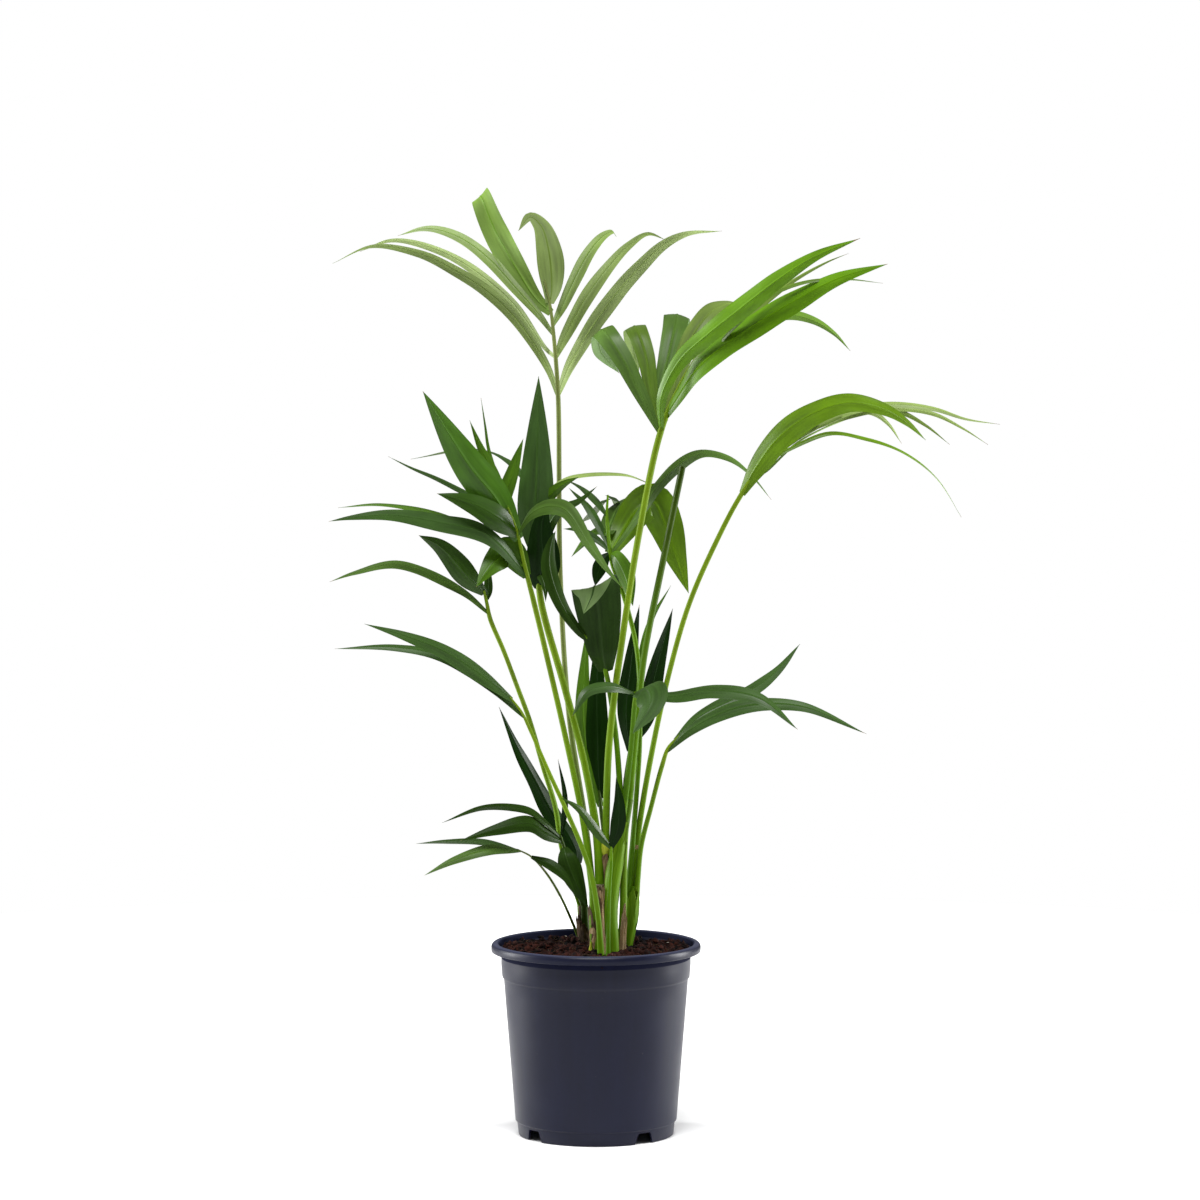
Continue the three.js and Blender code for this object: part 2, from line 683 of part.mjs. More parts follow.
function limbCurve(limb) {
  return new THREE.CatmullRomCurve3([footOf(limb), ...limb.stalk, ...(limb.rachis ?? [])].map(vector));
}

function junction(limb) {
  return limb.rachis ? limb.stalk.length / (limb.stalk.length + limb.rachis.length) : 1;
}

// Half the gap at a junction, as a share of the centre line.
function halfGap(curve, t) {
  const nearby = 1e-3;
  const speed = curve.getPoint(t - nearby).distanceTo(curve.getPoint(t)) / nearby;
  return GAP / 2 / speed;
}

function petiole(name, limb) {
  const curve = limbCurve(limb);
  const top = junction(limb);
  const end = limb.rachis ? top - halfGap(curve, top) : 1;
  return named("petiole_" + name, stem(curve, 0, end, limb.radii, true, false), limb.stem);
}

// A frond: its rachis with the leaflets grown on it, fused into one body.
function frond(name, limb) {
  const curve = limbCurve(limb);
  const start = junction(limb);
  let body = solid(stem(curve, start + halfGap(curve, start), 1, limb.radii.slice(1), false, false));
  for (const [along, ...row] of limb.leaflets) {
    const root = curve.getPoint(THREE.MathUtils.lerp(start, 1, Math.min(0.98, along)));
    body = body.add(solid(blade(root, limb.widest ?? LEAF_WIDEST, row)));
  }
  return named("frond_" + name, geometryOf(body), limb.leaf);
}

const palm = new THREE.Group();
palm.add(pot(), soil());
for (const [name, row] of Object.entries(CULMS)) palm.add(culm(name, row));
for (const [name, limb] of Object.entries(LIMBS)) {
  palm.add(petiole(name, limb));
  if (limb.rachis) palm.add(frond(name, limb));
}

export default palm;
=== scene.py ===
"""Looks of a young kentia palm in its nursery pot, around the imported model. Metres, the CAD's own frame."""
import math
import random

import bmesh
import bpy
import numpy as np
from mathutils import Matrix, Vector, noise


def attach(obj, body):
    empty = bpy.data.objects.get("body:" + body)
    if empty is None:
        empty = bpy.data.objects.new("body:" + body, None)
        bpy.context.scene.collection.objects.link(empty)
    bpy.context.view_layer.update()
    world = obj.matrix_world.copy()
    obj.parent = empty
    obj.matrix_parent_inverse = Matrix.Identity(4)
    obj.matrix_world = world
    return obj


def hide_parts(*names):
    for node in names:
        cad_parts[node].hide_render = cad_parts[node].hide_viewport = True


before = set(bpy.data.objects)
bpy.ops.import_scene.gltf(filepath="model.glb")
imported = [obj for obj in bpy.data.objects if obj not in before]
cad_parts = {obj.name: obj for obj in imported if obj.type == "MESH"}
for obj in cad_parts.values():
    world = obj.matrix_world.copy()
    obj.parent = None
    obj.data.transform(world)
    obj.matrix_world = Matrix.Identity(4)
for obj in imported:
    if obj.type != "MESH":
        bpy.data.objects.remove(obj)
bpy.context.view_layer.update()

# Measures are in millimetres until a mesh is made
MM = 0.001
SOIL_LEVEL = 185
GAP = 0.3
FRONT = np.array([0.0, -1.0, 0.0])

# The rule for a blade, as in the part's source but with more rings
LEAF_FOLD = 0.16
LEAF_WIDEST = 0.38
LEAF_TAPER = 1.5
LEAF_ROOT_WIDTH = 0.3
LEAF_RINGS = 52
LEAF_LEAST_HALF_WIDTH = 0.18

# The pot, as in the part's source but with more sides
POT_RIM_RADIUS = 105
POT_HEIGHT = 193
POT_WALL = 1.5
WALL_FOOT_RADIUS = 81
WALL_TOP_RADIUS = 92.4
STEP_RADIUS = 94
COLLAR_RADIUS = 95
COLLAR_LEVEL = 172
POT_SIDES = 192
FOOT_RADIUS = 77.8
PAD_RADIUS = 45
PAD_THICKNESS = 2.2
CHANNEL_HEIGHT = 11.5
CHANNEL_FLOOR = 2
DRAIN_HOLES = 8
DRAIN_RING_RADIUS = 61
DRAIN_HOLE_RADIUS = 5
NOTCHES = 4
NOTCH_ANGLE = -52
NOTCH_WIDTH_LOW = 25
NOTCH_WIDTH_HIGH = 14.5
NOTCH_CUT_DEPTH = 16
CUT_MARGIN = 5
POT_CREASE_ANGLE = 40
INSIDE_FROM = 20

# Each culm's slot, its radii at foot and top, and its path, which starts in the soil
CULMS = {
    "culm_left": {"finish": "dry_culm", "radii": [7.5, 7], "path": [[-11, 50], [-13, 50, 224]]},
    "culm_middle": {"finish": "dry_culm", "radii": [8, 10.5], "path": [[1, -8], [2, -9, 215], [3, -10, 245]]},
    "culm_front": {
        "finish": "culm",
        "radii": [6.5, 8],
        "path": [[16, -24], [14, -24, 223], [17, -23, 261], [21, -20, 285], [29, -14, 338]],
    },
    "culm_right": {"finish": "culm", "radii": [6, 7.5], "path": [[29, 24], [35, 23, 215], [37, 22, 248]]},
}

# The petioles and their fronds, with the rows of the part's source but for four leaflets. stem and leaf
# are slots, skin is the stalk's finish where it isn't the slot's usual one (the darker deep green skin paints
# shade on petioles that stand in shade), tones has a letter for each leaflet, a tone that is partly its own
# colour and partly painted light and shade, foot is a place beside the culm's top, radii are those at foot,
# junction and tip, gauge makes them thinner or thicker than the solid's, and facing says which leaflets turn
# their face to the front towards the tip, and how far.
# A leaflet's row: its root's place along the rachis, its width, the turn of its face in degrees, its points
LIMBS = {}
LIMBS["top_left"] = dict(
    stem="dull_stalk", leaf="pale_leaf", tones="pvsqpspv", on="culm_middle", foot=[-6, 4],
    radii=[3, 2.4, 1.2],
    stalk=[[-11, 8, 315], [-27, 25, 419], [-36, 42, 560], [-38, 60, 734]],
    rachis=[[-42, 75, 791], [-46, 88, 826], [-52, 100, 854]],
    leaflets=[
        [0.02, 14, 150, [-48, 80, 765], [-67, 84, 797], [-96, 84, 832], [-134, 72, 860], [-178, 48, 882],
         [-223, 16, 889], [-260, -26, 872]],
        [0.24, 12, 150, [-51, 83, 786], [-82, 94, 829], [-113, 104, 857], [-148, 116, 879],
         [-185, 130, 892], [-211, 144, 894], [-242, 164, 883]],
        [0.41, 14, 150, [-57, 92, 819], [-82, 108, 847], [-108, 130, 875], [-135, 156, 895],
         [-161, 184, 905], [-180, 206, 906], [-206, 236, 899]],
        [0.62, 27, 175, [-62, 100, 837], [-85, 118, 873], [-103, 136, 905], [-117, 152, 938],
         [-118, 178, 935], [-110, 205, 905], [-98, 225, 865]],
        [0.72, 28, 175, [-45, 102, 849], [-48, 112, 883], [-56, 124, 909], [-67, 128, 918],
         [-79, 120, 904]],
        [0.5, 15, 155, [-34, 102, 829], [-24, 116, 851], [-10, 142, 878], [4, 172, 896], [16, 200, 903],
         [21, 226, 898]],
        [0.24, 16, 155, [-32, 93, 797], [-10, 106, 837], [12, 124, 867], [33, 140, 889], [53, 152, 901],
         [71, 160, 895]],
        [0.03, 18, 155, [-27, 80, 768], [-7, 86, 803], [17, 88, 837], [43, 82, 867], [66, 66, 889],
         [88, 46, 901], [125, 4, 904]],
    ],
)
LIMBS["top_right"] = dict(
    stem="bright_stalk", leaf="leaf", widest=0.55, tones="hshpepesq", on="culm_middle", foot=[6.5, 0],
    radii=[3.5, 3.4, 1.3], facing={8: 0.9},
    stalk=[[10, -14, 309], [13, -18, 393], [25, -12, 492], [43, 8, 604], [63, 20, 699]],
    rachis=[[76, 18, 734], [100, 15, 776], [139, 10, 811]],
    leaflets=[
        [0.04, 23, 5, [45, 24, 741], [26, 32, 778], [12, 44, 799], [5, 70, 805], [4, 122, 783],
         [24, 172, 758]],
        [0.08, 22, 5, [56, 26, 743], [50, 36, 779], [42, 52, 803], [38, 84, 808], [38, 134, 785],
         [44, 186, 756]],
        [0.14, 26, 0, [65, 28, 743], [72, 40, 777], [79, 60, 807], [82, 92, 820], [86, 144, 798],
         [80, 200, 762]],
        [0.25, 25, 20, [90, 38, 785], [108, 52, 815], [129, 78, 830], [155, 120, 826], [172, 160, 806]],
        [0.05, 21, 40, [65, -6, 740], [82, -20, 775], [110, -40, 802], [143, -60, 829], [178, -80, 857],
         [214, -98, 880], [256, -120, 897]],
        [0.5, 7, 50, [103, -10, 784], [148, -16, 818], [192, -26, 853], [227, -32, 873], [249, -34, 882]],
        [0.2, 28, 45, [103, -28, 771], [144, -44, 804], [190, -62, 833], [237, -80, 858], [284, -96, 872]],
        [0.4, 7, 60, [137, -44, 811], [169, -56, 840], [204, -66, 854], [244, -70, 857], [281, -70, 853]],
        [0.45, 11, 45, [104, 12, 768], [149, 24, 806], [188, 40, 820], [217, 56, 815], [240, 70, 801],
         [257, 84, 783]],
    ],
)
LIMBS["right_high"] = dict(
    stem="bright_stalk", leaf="bright_leaf", widest=0.28, tones="bvvvpbs", on="culm_right", foot=[0, 4],
    radii=[3, 2.6, 1.1], facing={2: 0.8, 3: 0.9, 4: 0.8, 5: 0.25},
    stalk=[[41, 26, 290], [54, 16, 373], [74, 4, 468], [94, -4, 537], [124, -8, 605], [142, -10, 639]],
    rachis=[[162, -15, 669], [198, -20, 703], [243, -25, 725]],
    leaflets=[
        [0.05, 28, 35, [159, -18, 670], [182, -30, 701], [213, -46, 724], [248, -64, 736], [282, -82, 730],
         [304, -96, 717], [321, -110, 701]],
        [0.3, 12, 50, [202, -14, 703], [244, -20, 724], [289, -28, 733], [333, -36, 729], [365, -42, 719],
         [398, -50, 714]],
        [0.6, 8, 60, [241, 0, 718], [292, 0, 728], [334, 0, 723], [365, 0, 708], [390, -2, 692]],
        [0.7, 9, 45, [249, 12, 725], [276, 24, 723], [293, 36, 711], [307, 50, 691]],
        [0.75, 8, 45, [264, -2, 728], [301, 0, 725], [328, 0, 711], [352, 0, 692]],
        [0.35, 6, 45, [182, 14, 681], [232, 26, 702], [271, 42, 696], [311, 60, 681], [345, 78, 654],
         [371, 96, 614]],
        [0.2, 13, 100, [167, 6, 663], [200, 32, 692], [236, 66, 709], [268, 104, 718], [297, 140, 720]],
    ],
)
LIMBS["cut"] = dict(
    stem="dark_stalk", skin="fading_stalk", on="culm_front", foot=[4, 0], radii=[3.3, 3.4],
    stalk=[[40, 2, 404], [48, 14, 479], [67, 40, 572], [87, 62, 667]],
)
LIMBS["back_centre"] = dict(
    stem="bright_stalk", skin="shaded_deep_green_stalk", leaf="leaf", widest=0.5, tones="gggfkhhbfdd", on="culm_right",
    foot=[-4, -2], radii=[2.6, 2.2, 1.1], facing={6: 0.32, 7: 1.0},
    stalk=[[40, 22, 332], [44, 24, 399], [41, 30, 484], [26, 44, 544], [16, 52, 571]],
    rachis=[[12, 65, 601], [11, 80, 620], [12, 100, 636]],
    leaflets=[
        [0.15, 10, 30, [4, 72, 605], [-9, 92, 626], [-28, 118, 643]],
        [0.6, 15, 60, [-6, 104, 638], [-19, 118, 646], [-31, 134, 650]],
        [0.12, 9, 30, [2, 62, 593], [-16, 66, 603], [-33, 70, 604]],
        [0.3, 13, 30, [1, 76, 602], [-12, 76, 591], [-25, 78, 575]],
        [0.1, 15, 10, [7, 49, 573], [2, 46, 561], [-1, 42, 548]],
        [0.3, 30, 35, [16, 102, 609], [26, 128, 627], [50, 176, 635]],
        [0.1, 15, 50, [26, 56, 594], [44, 66, 620], [59, 80, 642], [82, 96, 666], [108, 112, 679],
         [136, 122, 673], [160, 128, 654], [179, 130, 630]],
        [0.1, 38, 10, [26, 74, 600], [43, 80, 624], [57, 85, 631], [70, 89, 608], [82, 91, 572],
         [94, 92, 537]],
        [0.09, 20, 10, [20, 42, 577], [30, 33, 558], [37, 24, 529]],
        [0.9, 22, 90, [4, 134, 627], [-14, 188, 604], [-22, 238, 602]],
        [1, 22, 90, [22, 140, 629], [38, 200, 599], [46, 250, 590]],
    ],
)
LIMBS["left_front"] = dict(
    stem="bright_stalk", leaf="leaf", tones="amgffgfffh", on="culm_middle", foot=[-6, -4],
    radii=[3, 2.8, 1.2], facing={4: 1.0},
    stalk=[[-13, -16, 318], [-30, -17, 400], [-45, -18, 466], [-62, -20, 538]],
    rachis=[[-70, -25, 570], [-78, -30, 606], [-87, -36, 631]],
    leaflets=[
        [0.6, 36, 15, [-98, -40, 639], [-124, -56, 673], [-147, -72, 710], [-169, -90, 748]],
        [0.65, 27, 30, [-95, -50, 621], [-116, -60, 634], [-137, -68, 642], [-156, -72, 647]],
        [0.25, 20, 40, [-107, -50, 605], [-152, -68, 618], [-202, -88, 627], [-240, -104, 625],
         [-260, -114, 622]],
        [0.35, 13, 60, [-125, -28, 611], [-169, -24, 627], [-214, -28, 634], [-255, -34, 631]],
        [0.25, 29, 0, [-86, -25, 587], [-98, -38, 580], [-108, -48, 569], [-118, -56, 554]],
        [0.95, 8, 50, [-117, -30, 640], [-160, -34, 661], [-183, -38, 671], [-205, -42, 682]],
        [1, 11, 10, [-103, -28, 668], [-115, -26, 692], [-125, -25, 717]],
        [0.98, 4, 10, [-106, -15, 686], [-110, -15, 712], [-114, -15, 739]],
        [0.9, 15, 10, [-90, -30, 638], [-82, -26, 668], [-72, -24, 699]],
        [0.65, 17, 60, [-65, -46, 625], [-47, -62, 634], [-29, -80, 631], [-8, -98, 601], [10, -110, 576],
         [26, -116, 557]],
    ],
)
LIMBS["left_tall"] = dict(
    stem="bright_stalk", leaf="leaf", widest=0.28, tones="gfmvkdg", on="culm_middle", foot=[1, -6],
    radii=[3.5, 3.2, 1.4], gauge=1.12, facing={3: 0.25, 6: 0.25},
    stalk=[[1, -12, 300], [-11, -2, 372], [-30, 4, 445], [-55, 10, 536]],
    rachis=[[-58, 12, 576], [-61, 15, 616], [-59, 18, 641]],
    leaflets=[
        [0.35, 37, 0, [-60, 8, 628], [-59, 4, 667], [-58, 2, 706], [-57, 0, 760]],
        [0.8, 13, 10, [-40, 4, 647], [-30, 0, 654], [-17, -5, 660]],
        [0.4, 13, 20, [-38, -8, 625], [-16, -12, 637], [1, -14, 651]],
        [0.95, 7, 50, [-31, 24, 656], [-10, 40, 660], [28, 64, 659], [47, 84, 652], [66, 104, 641]],
        [0.08, 36, 0, [-53, -5, 582], [-54, -12, 613], [-48, -15, 638]],
        [0.25, 10, 0, [-51, -10, 553], [-50, -12, 536]],
        [0.98, 14, 60, [-85, 32, 673], [-123, 60, 685], [-188, 100, 673]],
    ],
)
LIMBS["centre_fold"] = dict(
    stem="bright_stalk", skin="shaded_deep_green_stalk", leaf="dark_leaf", widest=0.7, tones="ld", on="culm_front",
    foot=[-4.5, 0], radii=[2.7, 2.6, 1.4],
    stalk=[[20, -6, 399], [12, -12, 456]],
    rachis=[[7, -22, 476], [-1, -32, 494], [-13, -42, 506]],
    leaflets=[
        [0.16, 48, 0, [7, -36, 485], [5, -43, 508], [2, -54, 536], [-1, -64, 555], [-4, -80, 546],
         [-12, -90, 530]],
        [0.8, 17, 20, [-16, -46, 509], [-35, -54, 539], [-46, -54, 575], [-44, -46, 597], [-40, -38, 608]],
    ],
)
LIMBS["left_mid"] = dict(
    stem="bright_stalk", leaf="leaf", tones="mhm", on="culm_left", foot=[-3, 4], radii=[2.6, 2.4, 1.3],
    stalk=[[-34, 42, 281], [-41, 38, 325], [-53, 32, 366], [-66, 20, 413], [-79, 3, 451], [-92, -14, 488],
           [-105, -30, 521]],
    rachis=[[-108, -33, 536], [-111, -35, 549]],
    leaflets=[
        [0.9, 25, 20, [-125, -44, 562], [-152, -58, 593], [-174, -72, 606]],
        [0.15, 13, 50, [-133, -36, 549], [-194, -52, 576], [-237, -72, 569], [-261, -84, 561]],
        [0.6, 9, 0, [-107, -24, 549], [-107, -20, 578]],
    ],
)
LIMBS["left_low"] = dict(
    stem="bright_stalk", leaf="leaf", tones="gg", on="soil", foot=[5, -36], radii=[4.5, 2.6, 1.3],
    gauge=0.68,
    stalk=[[2, -38, 225], [-6, -42, 271], [-27, -47, 326], [-46, -48, 368], [-65, -45, 411]],
    rachis=[[-74, -50, 430], [-85, -55, 445]],
    leaflets=[
        [0.9, 19, 40, [-107, -65, 463], [-149, -75, 492], [-188, -82, 508], [-227, -88, 520]],
        [0.35, 15, 50, [-100, -55, 453], [-149, -60, 485], [-198, -65, 495], [-257, -70, 494]],
    ],
)
LIMBS["left_dark"] = dict(
    stem="dark_stalk", leaf="dark_leaf", tones="kdddk", on="culm_left", foot=[1, -4], radii=[2.8, 2.5, 1.2],
    stalk=[[-24, 35, 259]],
    rachis=[[-31, 28, 282], [-36, 23, 298]],
    leaflets=[
        [0.14, 23, 10, [-19, 50, 273], [-28, 58, 294], [-44, 61, 316], [-61, 61, 348], [-79, 58, 382],
         [-98, 52, 425]],
        [0.95, 11, 60, [-50, 12, 312], [-69, 6, 326], [-113, -2, 329], [-154, -5, 314]],
        [0.8, 18, 40, [-50, 8, 302], [-66, -2, 313], [-101, -15, 308], [-135, -20, 298]],
        [0.6, 23, 0, [-30, 17, 278], [-22, 12, 256], [-8, 10, 226]],
        [0.9, 6, 0, [-31, 15, 335], [-38, 12, 376]],
    ],
)
LIMBS["left_small"] = dict(
    stem="bright_stalk", skin="dull_stalk", leaf="dark_leaf", tones="ghd", on="soil", foot=[-16, 62],
    radii=[2.2, 1.9, 1.2], gauge=0.62,
    stalk=[[-35, 42, 232], [-50, 28, 259]],
    rachis=[[-65, 18, 277], [-78, 10, 285]],
    leaflets=[
        [0.9, 11, 60, [-113, 5, 294], [-151, -2, 295], [-180, -5, 293]],
        [0.95, 13, 45, [-106, -10, 288], [-140, -20, 279], [-171, -28, 264]],
        [0.5, 11, 20, [-44, 10, 269], [-28, 5, 255], [-19, 2, 236]],
    ],
)
LIMBS["seedling"] = dict(
    stem="bright_stalk", skin="shaded_deep_green_stalk", leaf="dark_leaf", tones="mk", on="soil", foot=[12, -42],
    radii=[2.6, 2.2, 1.6], gauge=0.8,
    stalk=[[13, -40, 241], [15, -38, 280]],
    rachis=[[15, -38, 294]],
    leaflets=[
        [0.9, 12, 40, [2, -45, 309], [-17, -55, 334], [-35, -62, 346]],
        [0.9, 15, 0, [21, -42, 312], [23, -44, 338], [20, -45, 364]],
    ],
)
LIMBS["right_low"] = dict(
    stem="bright_stalk", leaf="leaf", tones="gg", on="culm_right", foot=[4, -2], radii=[2.6, 2.4, 1.4],
    stalk=[[45, 18, 287], [55, 4, 329], [66, -20, 374]],
    rachis=[[72, -22, 391], [84, -25, 404]],
    leaflets=[
        [0.8, 19, 40, [104, -14, 422], [149, 4, 443], [180, 30, 462], [206, 60, 488]],
        [0.4, 17, 45, [96, -35, 412], [142, -45, 434], [202, -55, 436], [267, -62, 409]],
    ],
)
LIMBS["front_centre"] = dict(
    stem="bright_stalk", skin="shaded_deep_green_stalk", leaf="leaf", widest=0.5, tones="ggg", on="culm_front",
    foot=[0, -5], radii=[2.6, 2.3, 1.5],
    stalk=[[35, -35, 395], [38, -52, 437]],
    rachis=[[39, -60, 450]],
    leaflets=[
        [0.9, 14, 60, [16, -85, 458], [-8, -105, 455], [-23, -118, 432]],
        [1, 35, 80, [50, -84, 456], [54, -106, 445], [36, -121, 415]],
        [0.9, 19, 45, [75, -80, 448], [116, -105, 456], [160, -125, 450], [196, -138, 421]],
    ],
)
LIMBS["dark_upright"] = dict(
    stem="dark_stalk", leaf="dark_leaf", tones="kf", on="culm_middle", foot=[1, 5], radii=[2.4, 2.3, 1.5],
    stalk=[[8, 8, 294]],
    rachis=[[5, 20, 323], [3, 28, 343]],
    leaflets=[
        [0.8, 23, 0, [2, 35, 373], [1, 45, 433], [2, 50, 508]],
        [0.6, 19, 10, [-10, 42, 388], [-13, 56, 432], [-9, 76, 506]],
    ],
)
LIMBS["dark_pair"] = dict(
    stem="dark_stalk", leaf="dark_leaf", tones="kkf", on="culm_front", foot=[0, 6], radii=[2.5, 2.3, 1.5],
    stalk=[[30, 4, 358]],
    rachis=[[32, 18, 372], [35, 32, 390]],
    leaflets=[
        [0.8, 18, 10, [30, 44, 420], [36, 62, 474], [44, 84, 526]],
        [0.95, 20, 10, [49, 48, 412], [62, 70, 465], [78, 98, 521]],
        [0.9, 10, 10, [42, 54, 440], [53, 76, 504], [76, 104, 544]],
    ],
)

# Each tone's upper face, under face and roughness. v is the palest, p pale, s soft, q pale and yellowish,
# b bright, e brightest, f fresh, a fresh and dark, h dull, g grey, m middle, d deep, k darkest,
# and l is dark with a light under face. A leaflet's tone is dealt by how lit or shaded it looks, so the
# tones are partly the leaflets' own colours and partly painted light and shade: the palest and brightest
# paint the light on lit leaflets, and the darkest paint the shade on leaflets deep in the crown.
LEAF_TONES = {
    "p": ("#647a34", "#758a48", 0.42),
    "s": ("#547022", "#6a813c", 0.40),
    "b": ("#5a7c0c", "#708c34", 0.38),
    "f": ("#42660a", "#5b7622", 0.38),
    "m": ("#2c490c", "#4d6626", 0.36),
    "d": ("#263d10", "#455a28", 0.34),
    "k": ("#0f2605", "#2a3f14", 0.34),
    "g": ("#35511f", "#5a6f3d", 0.40),
    "l": ("#233a0f", "#53693a", 0.38),
    "q": ("#5c8020", "#6c8a38", 0.40),
    "v": ("#869c54", "#94a868", 0.42),
    "e": ("#557f06", "#6c9022", 0.38),
    "a": ("#3c630e", "#567424", 0.36),
    "h": ("#4c6a28", "#5e7a44", 0.40),
}

# Each stalk skin's colour, and the one that it has at its foot
STALK_TONES = {
    "bright_stalk": ("#668016", "#4e7804"),
    "dull_stalk": ("#66723a", "#4f6a14"),
    "dark_stalk": ("#30440c", "#2a400a"),
    # Painted shade: a darker copy of the bright skin, for petioles that stand in shade; the green culms'
    # cores and their second sheaths wear it too.
    "shaded_deep_green_stalk": ("#527606", "#3f6804"),
    "fading_stalk": ("#374d0d", "#56800c"),
}


def linear(code):
    """Linear colour from a hex code."""
    values = [int(code[i:i + 2], 16) / 255 for i in (1, 3, 5)]
    return [v / 12.92 if v <= 0.04045 else ((v + 0.055) / 1.055) ** 2.4 for v in values] + [1.0]


def shade(colour, factor):
    """A lighter or darker version of a linear colour."""
    return [min(1.0, c * factor) for c in colour[:3]] + [1.0]


class Nodes:
    """A material's node tree with short calls for the nodes used here."""

    def __init__(self, name, roughness, **sockets):
        self.material = bpy.data.materials.new(name)
        self.material.use_nodes = True
        self.tree = self.material.node_tree
        self.shader = self.tree.nodes["Principled BSDF"]
        self.shader.inputs["Roughness"].default_value = roughness
        for socket, value in sockets.items():
            self.shader.inputs[socket.replace("_", " ")].default_value = value
        coords = self.tree.nodes.new("ShaderNodeTexCoord")
        self.surface, self.place = coords.outputs["UV"], coords.outputs["Object"]

    def link(self, output, target):
        self.tree.links.new(output, target)

    def node(self, kind, socket, source, **values):
        """A new node whose socket takes the source, with values for its other sockets."""
        node = self.tree.nodes.new("ShaderNode" + kind)
        self.link(source, node.inputs[socket])
        for key, value in values.items():
            node.inputs[key.replace("_", " ")].default_value = value
        return node

    def mapped(self, source, scale):
        return self.node("Mapping", "Vector", source, Scale=scale).outputs["Vector"]

    def part(self, vector, axis):
        return self.node("SeparateXYZ", "Vector", vector).outputs[axis]

    def noise(self, vector, scale, detail=4.0, roughness=0.55):
        node = self.node("TexNoise", "Vector", vector, Scale=scale, Detail=detail, Roughness=roughness)
        return node.outputs["Fac"]

    def ramp(self, value, low, high, start=0.0, end=1.0):
        """Stretches a value from low..high to start..end."""
        node = self.node("MapRange", "Value", value, From_Min=low, From_Max=high, To_Min=start, To_Max=end)
        return node.outputs["Result"]

    def mix(self, factor, first, second):
        node = self.tree.nodes.new("ShaderNodeMix")
        node.data_type = "RGBA"
        self.link(factor, node.inputs["Factor"])
        for value, socket in ((first, node.inputs[6]), (second, node.inputs[7])):
            if isinstance(value, list):
                socket.default_value = value
            else:
                self.link(value, socket)
        return node.outputs[2]

    def bump(self, height, strength, distance, under=None):
        node = self.node("Bump", "Height", height, Strength=strength, Distance=distance)
        if under is not None:
            self.link(under, node.inputs["Normal"])
        return node.outputs["Normal"]

    def finish(self, colour, normal, roughness=None):
        self.link(colour, self.shader.inputs["Base Color"])
        self.link(normal, self.shader.inputs["Normal"])
        if roughness is not None:
            self.link(roughness, self.shader.inputs["Roughness"])
        return self.material


def leaf_material(name, colour, roughness, vein=0.04, spread=0.12, gloss=0.24):
    """Leaf skin: fine lengthwise veins, soft blotches and an uneven satin gloss."""
    n = Nodes(name, roughness, Specular_IOR_Level=gloss)
    veins = n.noise(n.mapped(n.surface, (5.0, 0.25, 1.0)), 3.0, 2.0)
    drift = n.noise(n.mapped(n.surface, (1.3, 1.1, 1.0)), 1.6, 2.0)
    blotch = n.noise(n.place, 26.0, 3.0)
    fleck = n.noise(n.place, 90.0, 2.0)
    outward = n.ramp(n.part(n.surface, "Y"), 0.1, 1.4)
    dark, light = 1 - 2.2 * spread, 1 + 2.2 * spread
    low = n.mix(outward, shade(colour, dark * 0.8), shade(colour, dark * 1.08))
    high = n.mix(outward, shade(colour, light * 0.8), shade(colour, light * 1.08))
    body = n.mix(n.ramp(drift, 0.34, 0.64), low, high)
    lined = n.mix(n.ramp(veins, 0.4, 0.62, 0.0, 0.5), body, shade(colour, 1 + 1.5 * spread))
    flecked = n.mix(n.ramp(fleck, 0.70, 0.84, 0.0, 0.12), lined, shade(colour, 0.8))
    normal = n.bump(veins, vein, 0.0004, n.bump(blotch, 0.04, 0.002))
    return n.finish(flecked, normal, n.ramp(blotch, 0.3, 0.7, roughness - 0.05, roughness + 0.09))


def stalk_material(name, colour, foot=None, roughness=0.42, spread=0.18):
    """Petiole and rachis: smooth skin, darker at the foot, with lengthwise streaks and a few scurfy marks."""
    n = Nodes(name, roughness, Specular_IOR_Level=0.08)
    height = n.part(n.surface, "Y")
    streak = n.noise(n.mapped(n.surface, (16.0, 1.2, 1.0)), 2.0, 4.0)
    blotch = n.noise(n.place, 30.0, 3.0)
    scurf = n.noise(n.mapped(n.surface, (30.0, 14.0, 1.0)), 2.0, 3.0)
    body = n.mix(n.ramp(blotch, 0.35, 0.65), shade(colour, 1 - spread), shade(colour, 1 + spread))
    graded = n.mix(n.ramp(height, 0.2, 2.6), foot or shade(colour, 0.8), body)
    lined = n.mix(n.ramp(streak, 0.42, 0.62, 0.0, 0.55), graded, shade(colour, 1.2))
    marked = n.mix(n.ramp(scurf, 0.68, 0.80, 0.0, 0.35), lined, shade(colour, 0.6))
    normal = n.bump(streak, 0.25, 0.0005, n.bump(scurf, 0.08, 0.0004))
    return n.finish(marked, normal, n.ramp(blotch, 0.3, 0.7, roughness - 0.06, roughness + 0.12))


def dry_material(name, colour, pale):
    """Dead sheath: fibrous and dull, with pale strands along it."""
    n = Nodes(name, 0.8, Specular_IOR_Level=0.2)
    strand = n.noise(n.mapped(n.surface, (22.0, 1.4, 1.0)), 2.4, 5.0, 0.65)
    blotch = n.noise(n.place, 90.0, 4.0)
    body = n.mix(n.ramp(blotch, 0.35, 0.65), shade(colour, 0.6), colour)
    lined = n.mix(n.ramp(strand, 0.48, 0.66, 0.0, 0.85), body, pale)
    normal = n.bump(strand, 0.8, 0.001, n.bump(blotch, 0.4, 0.001))
    return n.finish(lined, normal, n.ramp(strand, 0.3, 0.7, 0.65, 0.92))


